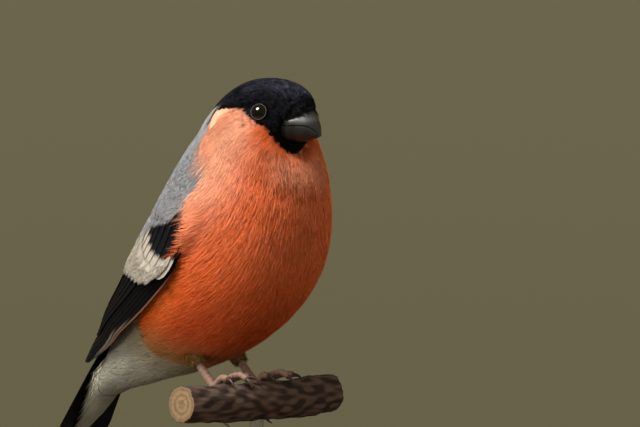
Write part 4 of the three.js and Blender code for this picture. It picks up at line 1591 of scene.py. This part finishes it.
def tail_point(s: Array, y: Array, h: Array) -> Array:
    """Finds a place on the tail.

    Args:
        s: How far down the tail it is.
        y: How far across.
        h: How far above.

    Returns:
        The points.
    """
    run = np.array([-math.cos(TAIL_SLOPE), 0, -math.sin(TAIL_SLOPE)])
    up = np.array([-math.sin(TAIL_SLOPE), 0, math.cos(TAIL_SLOPE)])
    start = np.array([TAIL_START[0], 0, TAIL_START[1]])
    spot = start + s[..., None] * run + (h - TAIL_ARCH * y * y)[..., None] * up
    return spot + y[..., None] * np.array([0, 1, 0])


@dataclass
class Tail:
    """Twelve tail feathers in a narrow fold, with the coverts over their roots."""

    black: Array = dye(10, 10, 12)
    seed: int = 5
    outline: tuple[tuple[float, float], ...] = (
        (0, 0.4), (0.5, 0.9), (0.85, 1), (0.93, 0.85), (0.975, 0.6), (1, 0.25))

    def feather(self, root_y: float, tip_y: float, start: float, end: float, width: float,
                lift: float, tilt: float, number: int) -> Shape:
        """Builds one tail feather as a thin closed plate with a shaft.

        Args:
            root_y: Its root, across the tail.
            tip_y: Its tip, across the tail.
            start: Its root, down the tail.
            end: Its tip, down the tail.
            width: Its full width.
            lift: Its height over the tail's middle sheet.
            tilt: How much one edge stands up.
            number: Its cell on the map.

        Returns:
            The closed shape.
        """
        tt, aa = np.meshgrid(np.linspace(0, 1, 26), np.linspace(-1, 1, 9), indexing="ij")
        half = table(self.outline, tt) * width / 2
        s, y = start + tt * (end - start), root_y + tt * (tip_y - root_y) + aa * half
        shaft = 0.16 * np.exp(-(aa / 0.12) ** 2)
        top = lift + tilt * aa + shaft - 0.05 * aa ** 2
        under = top - 0.3 * (1 - 0.6 * np.abs(aa)) - shaft
        points = np.stack([tail_point(s, y, top), tail_point(s, y, under)])
        tones = np.stack([self.black * (0.8 + 0.35 * tt)[..., None]] * 2)
        return plate(points, tones, tt, aa, width / 2, end - start, Wing.cell(number))

    def build(self) -> Shape:
        """Builds six long feathers and four coverts on each side of the tail."""
        rng = np.random.default_rng(self.seed)
        shapes = []
        for side in SIDE_NAMES:
            for i in range(6):
                spread = i / 5
                end = TAIL_LENGTH - 2 * (1 - spread) + 0.3 * rng.uniform(-1, 1)
                lift = 0.2 - 0.3 * i + (0.15 if side > 0 else 0)
                shapes.append(self.feather(side * (0.5 + 2.2 * spread), side * (1.1 + 6.5 * spread), 0.4 * i,
                                           end, 8.2, lift, -0.12 * side, len(shapes)))
            for i in range(4):
                end = 19 - 3 * i + 0.5 * rng.uniform(-1, 1)
                shapes.append(self.feather(side * (0.6 + 1.3 * i), side * (0.9 + 1.7 * i), -1, end,
                                           5.0, 0.85 - 0.15 * i, -0.1 * side, len(shapes)))
        return Shape.joined(shapes)

    def dress(self) -> None:
        """Makes the tail in place of its solid."""
        self.build().make("tail_vanes", VANE_FEATHER, "tail_feathers", ("tail",), crease=50)


# Head


@dataclass
class Bill:
    """The stout black bill, in two halves that meet along the line of the mouth."""

    horn: Array = dye(34, 32, 29)
    # The colour of the painted highlight along the upper half's side.
    pale: Array = dye(90, 89, 87)
    brown: Array = dye(34, 22, 14)
    rows: int = 44
    columns: int = 41
    gap: float = 0.12
    flare: float = 1.15

    @staticmethod
    def mouth_turn(u: Array) -> Array:
        """Finds where the side of the bill meets the line of the mouth.

        Args:
            u: Places along the bill.

        Returns:
            The turn there.
        """
        turns = np.arange(20, 178, 0.5)
        points = BILL.on(*np.meshgrid(u, turns, indexing="ij"))
        above = points[..., 2] - table(MOUTH_LINE, points[..., 0])
        return turns[(above < 0).argmax(1)].clip(20, 175)

    def half(self, upper: bool) -> Shape:
        """Builds the upper or the lower half.

        Args:
            upper: Whether it is the upper one.

        Returns:
            The closed shape.
        """
        u = np.linspace(-0.9, 4.98 if upper else 4.62, self.rows)
        b = np.linspace(-1, 1, self.columns)
        limit = self.mouth_turn(np.clip(u, 0, 4.9))[:, None]
        turn = limit * b if upper else 180 - (180 - limit) * b
        uu, way = np.broadcast_to(u[:, None], turn.shape), 1 if upper else -1
        keel = 0.12 * np.exp(-(turn / 14) ** 2) * smooth(uu, 0, 1.5) if upper else 0 * uu
        lip = -self.gap * np.abs(b[None]) ** 8
        side = from_back(turn)
        flare = self.flare * smooth(side, 55, 85) * smooth(side, 172, 130) * smooth(uu, 1.6, 0.0)
        outer = BILL.lifted(uu, turn, keel + lip + flare)
        mid = (outer[:, :1] + outer[:, -1:]) / 2
        flat = outer[:, :1] + (outer[:, -1:] - outer[:, :1]) * ((b + 1) / 2)[None, :, None]
        bow = (1 - b[None, :, None] ** 2) * np.linalg.norm(outer[:, :1] - mid, axis=-1)[..., None]
        inner = flat + np.array([0, 0, 0.3 * way]) * bow
        ring = np.concatenate([outer, inner[:, ::-1][:, 1:-1]], 1)
        ring[..., 2] += self.gap * way
        return closed_tube(ring, self.paint(ring, upper))

    def paint(self, ring: Array, upper: bool) -> Array:
        """Paints grey horn, with a pale stripe of painted highlight along the side of the upper half,
        and browner below.

        Args:
            ring: The points.
            upper: Whether they are those of the upper half.

        Returns:
            Their colours.
        """
        wear = 1 + 0.12 * ripple(ring, 2.5, 8)[..., None]
        x, z = ring[..., 0], ring[..., 2]
        if not upper:
            return blend(self.horn * 0.8, self.brown, smooth(z, 77.5, 74.5)[..., None]) * wear
        # Painted highlight: a pale stripe along the side of the upper half.
        along = smooth(x, 23.0, 26.5) * smooth(x, 32.5, 29.5)
        return blend(self.horn, self.pale, 0.6 * (np.exp(-(z - 81.2) ** 2) * along)[..., None]) * wear

    def dress(self) -> None:
        """Makes both halves in place of their solids."""
        for upper, word in ((True, "upper"), (False, "lower")):
            self.half(upper).make(f"bill_horn_{word}", HORN, "bill_horn", (f"bill_{word}",), crease=55)


@dataclass
class Bristles:
    """Short black feathers round the bill's root, and browner ones on the face that lie forward over it.

    The tables give, by turn from the back, how far forward the roots reach on the bill, and the size
    of each feather on the bill and on the face.
    """

    markings: Markings
    count: int = 620
    forward_count: int = 520
    tuft: Tuft = Tuft(length=2.6, fan=0.5, strands=5, strand=0.07, rings=2, sunk=0.1, rise=0.5,
                      loose=0.15, stray=0.12, mottle=0.09)
    forward: Tuft = Tuft(length=2.8, fan=0.6, strands=5, strand=0.06, rings=2, sunk=0.0, rise=0.05,
                         loose=0.1, stray=0.06, mottle=0.09)
    reach: tuple[tuple[float, float], ...] = ((0, 1.0), (35, 0.9), (50, 0.6), (62, 0.0), (180, 0.0))
    size: tuple[tuple[float, float], ...] = ((0, 1.1), (45, 1.1), (62, 0.45), (80, 0.3), (180, 0.5))
    forward_size: tuple[tuple[float, float], ...] = ((0, 0.55), (25, 0.8), (50, 0.9), (88, 0.35))
    brown: Array = dye(118, 104, 92)

    def around(self, rng: np.random.Generator) -> Shape:
        """Grows the black feathers on the root of the bill.

        Args:
            rng: Source of chance.

        Returns:
            The strands.
        """
        turn = rng.uniform(-180, 180, self.count)
        u = rng.uniform(-0.9, 1, self.count) * table(self.reach, np.abs(turn)) * 0.7 - 0.25
        size = table(self.size, np.abs(turn)) * rng.uniform(0.7, 1.2, self.count)
        tone = np.tile(self.markings.cap * 0.8, (self.count, 1))
        return self.tuft.grow(BILL, u, turn, rng.normal(0, 0.2, self.count), size, tone, tone, rng,
                              span=(0.1, 0.1))

    def over(self, rng: np.random.Generator) -> Shape:
        """Grows the feathers of the face that lie forward, those on top with a painted sheen.

        Args:
            rng: Source of chance.

        Returns:
            The strands.
        """
        count = self.forward_count
        turn = rng.uniform(-88, 88, count)
        side = np.abs(turn)
        u = rng.uniform(0.25, 1.4, count)
        size = table(self.forward_size, side) * rng.uniform(0.7, 1.2, count)
        tone = np.tile(self.markings.cap * 0.8, (count, 1))
        brown = self.brown * (0.6 * smooth(side, 25, 55) * smooth(u, 1.0, 0.5))[:, None]
        # Painted sheen: the forward feathers on top of the head take the cap's gloss colour at random.
        sheen = self.markings.sheen * (0.5 * smooth(side, 60, 25) * rng.uniform(0, 1, count))[:, None]
        return self.forward.grow(BODY, u, turn, math.pi + rng.normal(0, 0.25, count), size, tone,
                                 tone * 0.5 + brown + sheen, rng, span=(0.5, 0.1))

    def dress(self) -> None:
        """Makes the bristles as one piece."""
        rng = np.random.default_rng(17)
        Shape.joined([self.around(rng), self.over(rng)]).make("nasal_bristles", CAP_FEATHER, "cap_feathers")


@dataclass
class Eye:
    """One eye: a wet dark ball within a rim of tiny pale scales."""

    side: int
    pupil: Array = dye(2, 2, 2)
    iris: Array = dye(14, 6, 4)
    rim: Array = dye(98, 95, 92)
    lid: Array = dye(4, 4, 4)

    def frame(self) -> tuple[Array, Array, Array, Array]:
        """The eye's seat on the head, and three ways: out, and two along the head."""
        seat, out = eye_seat(self.side)
        first = unit(np.cross(out, [0.0, 0.0, 1.0]))
        return seat, out, first, np.cross(out, first)

    def ball(self) -> Shape:
        """The eyeball, coloured by distance from its middle."""
        seat, out, first, second = self.frame()
        centre = seat - out * math.sqrt(EYE_RADIUS ** 2 - EYE_APERTURE ** 2)
        a, b = np.meshgrid(np.linspace(0.01, np.pi - 0.01, 40), circle(48), indexing="ij")
        way = (np.cos(a)[..., None] * out + np.sin(a)[..., None]
               * (np.cos(b)[..., None] * first + np.sin(b)[..., None] * second))
        mix = smooth(EYE_RADIUS * np.sin(a), 1.35, 1.6)[..., None]
        return closed_tube(centre + EYE_RADIUS * way, blend(self.pupil, self.iris, mix))

    def ring(self, major: float, minor: float, height: float, tone: Array, scales: int) -> Shape:
        """Builds a rim round the eye, notched into scales.

        Args:
            major: Radius of the rim.
            minor: Radius of its section.
            height: How far it stands off the head.
            tone: Its colour.
            scales: How many scales it has.

        Returns:
            The closed shape.
        """
        seat, out, first, second = self.frame()
        count, sides = 96, 10
        a, b = np.meshgrid(circle(count), circle(sides), indexing="ij")
        small = minor * (1 + 0.18 * np.sin(a * scales))[..., None]
        way = np.cos(a)[..., None] * first + np.sin(a)[..., None] * second
        points = (seat + out * height + way * (major + small * np.cos(b)[..., None])
                  + out * small * np.sin(b)[..., None])
        faces = grid_faces(count + 1, sides, wrap=True) % (count * sides)
        return Shape.of(points, faces, tone).turned_out()

    def dress(self) -> None:
        """Makes the ball and its rims."""
        word = SIDE_NAMES[self.side]
        self.ball().make(f"eyeball_{word}", EYE_GLOSS, "eye", (f"eye_{word}",))
        lid = self.ring(EYE_APERTURE + 0.1, 0.3, 0.02, self.lid, 24)
        rim = self.ring(EYE_APERTURE - 0.05, 0.055, 0.3, self.rim, 36)
        Shape.joined([lid, rim]).make(f"eye_rim_{word}", LID, "leg_skin")


# Legs


@dataclass
class Leg:
    """One shank and foot, with rings of scutes.

    Each toe is the points that it runs through and the tip of its claw.
    """

    side: int
    skin: Array = dye(122, 94, 80)
    crack: Array = dye(76, 52, 40)
    claw: Array = dye(58, 46, 40)
    toes: tuple[tuple[tuple[tuple[float, float, float], ...], tuple[float, float, float]], ...] = (
        (((-1.6, 0, -0.2), (0.9, 0, 1.3), (4.5, 0, 3.1), (8.0, 0, 3.8), (10.9, 0, 2.7)), (13.2, 0, 0.2)),
        (((-1.6, -0.9, -0.3), (0.6, -2.2, 1.2), (3.6, -3.6, 2.9), (7.0, -4.8, 3.1)), (10.4, -5.6, 1.6)),
        (((-1.6, 0.9, -0.3), (0.6, 2.2, 1.2), (4.0, 3.8, 2.9), (7.8, 5.2, 3.0)), (11.2, 6.0, 1.2)),
        (((-1.9, 0, -1.6), (-2.4, 0.1, -4.4), (-1.5, 0.2, -7.4), (0.4, 0.2, -9.9)), (3.6, 0.2, -12.0)),
    )

    def scaled(self, path: Sequence[Sequence[float]], radius: Callable[[Array], Array],
               scutes: int) -> Shape:
        """A rod of skin with overlapping scutes.

        Args:
            path: Points that it runs through.
            radius: Its radius along it, from 0 to 1.
            scutes: How many scutes it has.

        Returns:
            The closed shape.
        """
        def saw(u: Array) -> Array:
            """How far along its scute each place is."""
            return (u * scutes) % 1

        def swell(u: Array, turn: Array) -> Array:
            """How far a scute stands off, most at its upper end."""
            return 0.2 * (1 - saw(u)) ** 0.7 - 0.08

        def tone(u: Array, turn: Array) -> Array:
            """The skin, darker at the lower end of each scute."""
            return blend(self.skin, self.crack, 0.7 * smooth(saw(u), 0.72, 0.95)[..., None])

        return Limb(path, radius).tube(scutes * 6 + 1, 16, swell, tone)

    def toe_path(self, toe: int) -> list[tuple[float, float, float]]:
        """Where a toe runs."""
        return [(x, self.side * (FOOT_SPREAD + y), z) for x, y, z in self.toes[toe][0]]

    def claw_path(self, toe: int) -> list[Array]:
        """Finds where a toe's claw runs.

        Args:
            toe: The toe's number.

        Returns:
            Three points, the last one its tip.
        """
        path = np.array(self.toe_path(toe))
        run = unit(path[-1] - path[-2])
        x, y, z = self.toes[toe][1]
        tip = np.array([x, self.side * (FOOT_SPREAD + y), z])
        bend = path[-1] + run * 0.45 * np.linalg.norm(tip - path[-1])
        return [path[-1] - run * 0.8, (path[-1] + tip) / 4 + bend / 2, tip]

    def build_skin(self) -> tuple[Shape, Shape]:
        """The shank, and the toes with the ball of the foot."""
        y = self.side * FOOT_SPREAD
        ends = [(x, y, z) for x, z in (HEEL, SHANK_TOP, ANKLE_END, FOOT_JOINT)]
        shank = self.scaled(ends, lambda t: 1.12 + 0.25 * t ** 2, 11)
        toes = [self.scaled(self.toe_path(n), lambda t: 1.1 - 0.22 * t, 8) for n in range(len(self.toes))]
        x, z = FOOT_JOINT
        ball = Limb([(x - 0.8, y, z + 0.2), (x + 1, y, z + 0.1), (x + 2.8, y, z)],
                    lambda t: 1.65 * np.sqrt(1.02 - (2 * t - 1) ** 2))
        return shank, Shape.joined([ball.tube(14, 16, tone=self.skin), *toes])

    def dress(self) -> None:
        """Makes the shank, the foot and the claws."""
        word = SIDE_NAMES[self.side]
        shank, foot = self.build_skin()
        claws = Shape.joined([Limb(self.claw_path(n), lambda t: 0.8 - 0.66 * t).tube(14, 12, tone=self.claw)
                              for n in range(len(self.toes))])
        shank.make(f"shank_{word}", LEG_SKIN, "leg_skin", (f"tarsus_{word}",))
        foot.make(f"toes_{word}", LEG_SKIN, "leg_skin", (f"foot_{word}",))
        claws.make(f"claws_{word}", CLAW, "bill_horn")


@dataclass
class ThighCoat:
    """The soft feathers of the thighs."""

    markings: Markings
    count: int = 260
    tuft: Tuft = Tuft(length=4.6, fan=1.0, strands=8, strand=0.1, rings=2, sunk=-0.4, rise=0.3,
                      loose=0.25, stray=0.12, mottle=0.09)

    def dress(self) -> None:
        """Makes the feathers of both thighs."""
        rng = np.random.default_rng(23)
        shapes = []
        for side in SIDE_NAMES:
            u, turn = rng.uniform(0.0, 0.82, self.count), rng.uniform(-180, 180, self.count)
            warm = blend(self.markings.deep, self.markings.olive, u[:, None])
            tone = (warm * 0.6 + self.markings.olive * 0.5) * rng.uniform(0.8, 1.1, (self.count, 1))
            shapes.append(self.tuft.grow(thigh(side), u, turn, 0 * u, 1 - 0.35 * u, tone, tone * 1.15, rng,
                                         span=(0.1 if side < 0 else 0.55, 0.35)))
        Shape.joined(shapes).make("coat_thighs", SOFT_FEATHER, "breast_feathers")


# Perch and stand


def turned(profile: Sequence[tuple[float, float]], x: float, stretch: float, tone: Array,
           sides: int) -> Shape:
    """Turns a profile round an upright axis.

    Args:
        profile: (radius, height) pairs, from the bottom.
        x: Where the axis is.
        stretch: Width as a share of length.
        tone: Its colour.
        sides: Points round it.

    Returns:
        The closed shape.
    """
    a = circle(sides)
    radius, height = np.array(profile, float).T
    points = np.stack([x + radius[:, None] * np.cos(a), stretch * radius[:, None] * np.sin(a),
                       np.broadcast_to(height[:, None], (len(radius), sides))], -1)
    return closed_tube(points, tone)


@dataclass
class Perch:
    """A cut twig with rough bark, one swollen ring and pale cut ends with growth rings."""

    bark: Array = dye(84, 66, 56)
    dark: Array = dye(46, 34, 30)
    wood: Array = dye(122, 98, 70)
    sides: int = 96
    cut_rings: Array = field(default_factory=lambda: np.linspace(0.97, 0.15, 16))

    def build(self) -> Shape:
        """Builds the twig."""
        half = PERCH_LENGTH / 2
        bends = ((0, -1, 0.6), (0.5, -0.5, 0), (0, 0, 0), (-0.3, 0.5, 0), (0, 1, 1))
        path = [(PERCH[0] + x, share * half, PERCH[1] + z) for x, share, z in bends]

        def radius(t: Array) -> Array:
            """The radius along the twig, with the swollen ring."""
            return PERCH_RADIUS - 0.5 + 0.7 * t - 0.4 * t * t + 0.35 * np.exp(-((t - 0.86) / 0.03) ** 2)

        limb = Limb(path, radius)
        turns = np.arange(self.sides) * 360 / self.sides
        u, turn = np.meshgrid(np.linspace(0, 1, 150), turns, indexing="ij")
        bare = limb.on(u, turn)
        stretch = bare * np.array([1.0, 0.35, 1.0])
        rough = 0.22 * ripple(stretch, 2.2, 31, 14) + 0.16 * ripple(bare, 5.0, 32) - 0.3
        rings = limb.lifted(u, turn, rough)
        mix = smooth(ripple(stretch, 3.0, 33, 12), -0.6, 0.7)[..., None]
        points = np.concatenate([self.cut(rings[0], -1)[::-1], rings, self.cut(rings[-1], 1)])
        growth = self.wood * (0.82 + 0.18 * np.cos(18 * self.cut_rings))[:, None]
        ends = np.broadcast_to(growth[:, None], (len(growth), self.sides, 3))
        return closed_tube(points, np.concatenate([ends[::-1], blend(self.dark, self.bark, mix), ends]))

    def cut(self, ring: Array, way: int) -> Array:
        """Makes the rings of a cut end.

        Args:
            ring: The last ring of bark.
            way: Which way the end faces, 1 or -1.

        Returns:
            The rings, from its rim inwards.
        """
        centre = ring.mean(0)
        inner = centre + (ring - centre) * self.cut_rings[:, None, None]
        inner[..., 1] += way * 0.12
        return inner

    def dress(self) -> None:
        """Makes the twig in place of its solid."""
        self.build().make("twig", BARK, "bark", ("stand_perch",), crease=60)


@dataclass
class Stand:
    """The steel rod with its collar, and the oval wooden base."""

    steel: Array = dye(190, 190, 192)
    wood: Array = dye(84, 54, 36)

    def rod(self) -> Shape:
        """The rod and its collar."""
        bottom = FLOOR + BASE_SIZE[2] + 0.3
        top = PERCH[1] - PERCH_RADIUS + 1.0
        profile = [(COLLAR_RADIUS - 0.3, bottom), (COLLAR_RADIUS, bottom + 0.3),
                   (COLLAR_RADIUS - 0.6, bottom + 2.4),
                   (COLLAR_RADIUS - 1.0, bottom + 2.9), (COLLAR_RADIUS - 1.4, bottom + 3.0),
                   (ROD_RADIUS, bottom + 3.05), (ROD_RADIUS, bottom + 3.4), (ROD_RADIUS, top - 0.2),
                   (ROD_RADIUS - 0.2, top)]
        return turned(profile, PERCH[0], 1.0, self.steel, 96)

    def base(self) -> Shape:
        """The base, with an eased edge."""
        length, width, thickness = BASE_SIZE
        half, edge = length / 2, 1.6
        low, high = FLOOR, FLOOR + thickness
        ease = [(half - edge + edge * math.sin(a), high - edge + edge * math.cos(a))
                for a in np.linspace(math.pi / 2, 0, 7)]
        profile = [(half - edge, low), (half, low + edge), (half, (low + high) / 2), *ease,
                   (half * 0.7, high), (half * 0.35, high), (2.0, high)]
        return turned(profile, -BIRD_ORIGIN[0], width / length, self.wood, 128)

    def dress(self) -> None:
        """Makes the rod and the base in place of their solids."""
        self.rod().make("rod_and_collar", STEEL, "steel", ("stand_rod",), crease=40)
        self.base().make("base_block", WAXED_WOOD, "base_wood", ("stand_base",), crease=40)


# Setting


@dataclass
class Setting:
    """The table top, the lights, the plain surroundings and the camera, in metres.

    The middle of the picture lies from_feet from the feet: towards the camera, to the right and up.
    """

    azimuth: float = math.radians(44)
    tilt: float = math.radians(2)
    width_seen: float = 0.1939
    lens: float = 300.0
    sensor: float = 36.0
    from_feet: tuple[float, float, float] = (0.01, 0.02364, 0.0523)
    table_profile: tuple[tuple[float, float], ...] = (
        (0.5, 0), (40, 0), (120, 0), (200, 0), (298, 0), (300, 1), (300, 7), (298, 8), (100, 8))
    table_tone: Array = dye(104, 98, 86)

    def ways(self) -> tuple[Vector, Vector, Vector]:
        """The ways to the camera, to the picture's right and up."""
        a, e = self.azimuth, self.tilt
        toward = Vector((math.sin(a) * math.cos(e), -math.cos(a) * math.cos(e), math.sin(e)))
        right = Vector((math.cos(a), math.sin(a), 0))
        return toward, right, toward.cross(right)

    def target(self) -> Vector:
        """The middle of the picture, at the depth of the bird."""
        toward, right, up = self.ways()
        front, across, high = self.from_feet
        return Vector(BIRD_ORIGIN) * MM + right * across + up * high + toward * front

    def camera(self) -> None:
        """Adds the camera that keeps the photograph's framing."""
        toward, _, _ = self.ways()
        data = bpy.data.cameras.new("camera")
        data.lens, data.sensor_width = self.lens, self.sensor
        data.clip_start, data.clip_end = 0.05, 20
        thing = bpy.data.objects.new("camera", data)
        bpy.context.scene.collection.objects.link(thing)
        thing.location = self.target() + toward * (self.width_seen * self.lens / self.sensor)
        thing.rotation_euler = toward.to_track_quat("Z", "Y").to_euler()
        bpy.context.scene.camera = thing

    def light(self, name: str, right: float, up: float, front: float, size: float, power: float,
              colour: tuple[float, float, float]) -> None:
        """Adds a square light that faces the bird, placed by the picture's own ways in metres.

        Args:
            name: Its name. The one called key is the one that shows in shiny surfaces.
            right: How far it is to the picture's right of the bird.
            up: How far up.
            front: How far towards the camera.
            size: The length of its sides.
            power: Its power in watts.
            colour: Its colour.
        """
        toward, across, high = self.ways()
        data = bpy.data.lights.new(name, "AREA")
        data.size, data.energy, data.color = size, power, colour
        data.shape = "SQUARE"
        thing = bpy.data.objects.new(name, data)
        bpy.context.scene.collection.objects.link(thing)
        way = across * right + high * up + toward * front
        thing.location = self.target() + way
        thing.rotation_euler = way.to_track_quat("Z", "Y").to_euler()
        thing.visible_glossy = name == "key"

    def table_top(self) -> None:
        """Adds the round table top that the stand is on."""
        profile = [(radius, FLOOR - drop) for radius, drop in self.table_profile]
        turned(profile, 0.0, 1.0, self.table_tone, 128).place("table_top", TABLE, crease=40)

    def surroundings(self) -> None:
        """Sets the soft light and the plain olive-brown tone all round."""
        world = bpy.data.worlds.new("surroundings")
        bpy.context.scene.world = world
        world.use_nodes = True
        nodes, links = world.node_tree.nodes, world.node_tree.links
        place = nodes.new("ShaderNodeTexCoord")
        split = nodes.new("ShaderNodeSeparateXYZ")
        ramp = nodes.new("ShaderNodeValToRGB")
        ramp.color_ramp.elements[0].position = 0.35
        ramp.color_ramp.elements[0].color = (*srgb(92, 84, 60), 1)
        ramp.color_ramp.elements[1].position = 0.75
        ramp.color_ramp.elements[1].color = (*srgb(126, 124, 96), 1)
        half = nodes.new("ShaderNodeMapRange")
        half.inputs["From Min"].default_value = -1.0
        links.new(place.outputs["Generated"], split.inputs["Vector"])
        links.new(split.outputs["Z"], half.inputs["Value"])
        links.new(half.outputs["Result"], ramp.inputs["Fac"])
        links.new(ramp.outputs["Color"], nodes["Background"].inputs["Color"])
        nodes["Background"].inputs["Strength"].default_value = 1.0
        bpy.context.scene.view_settings.view_transform = "Standard"

    def build(self) -> None:
        """Builds the whole setting."""
        self.table_top()
        self.surroundings()
        self.light("key", -0.62, 1.0, 0.45, 0.5, 32, (1.0, 1.0, 1.0))
        self.light("side", -1.1, 0.15, 0.45, 0.7, 11, (1.0, 0.99, 0.97))
        self.light("fill", 0.6, 0.35, 1.0, 1.3, 7, (1.0, 0.99, 0.98))
        self.light("back", 0.3, 0.7, -0.9, 0.5, 4, (1.0, 1.0, 1.0))
        self.camera()


def main() -> None:
    """Builds the model in order and reports each piece."""
    logging.basicConfig(level=logging.INFO, format="%(message)s")
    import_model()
    markings = Markings()
    Setting().build()
    Skin(markings).dress()
    BodyCoat(markings).dress()
    ThighCoat(markings).dress()
    for side in SIDE_NAMES:
        Wing(side).dress()
        Eye(side).dress()
        Leg(side).dress()
    Tail().dress()
    Bill().dress()
    Bristles(markings).dress()
    Perch().dress()
    Stand().dress()


if __name__ == "__main__":
    main()
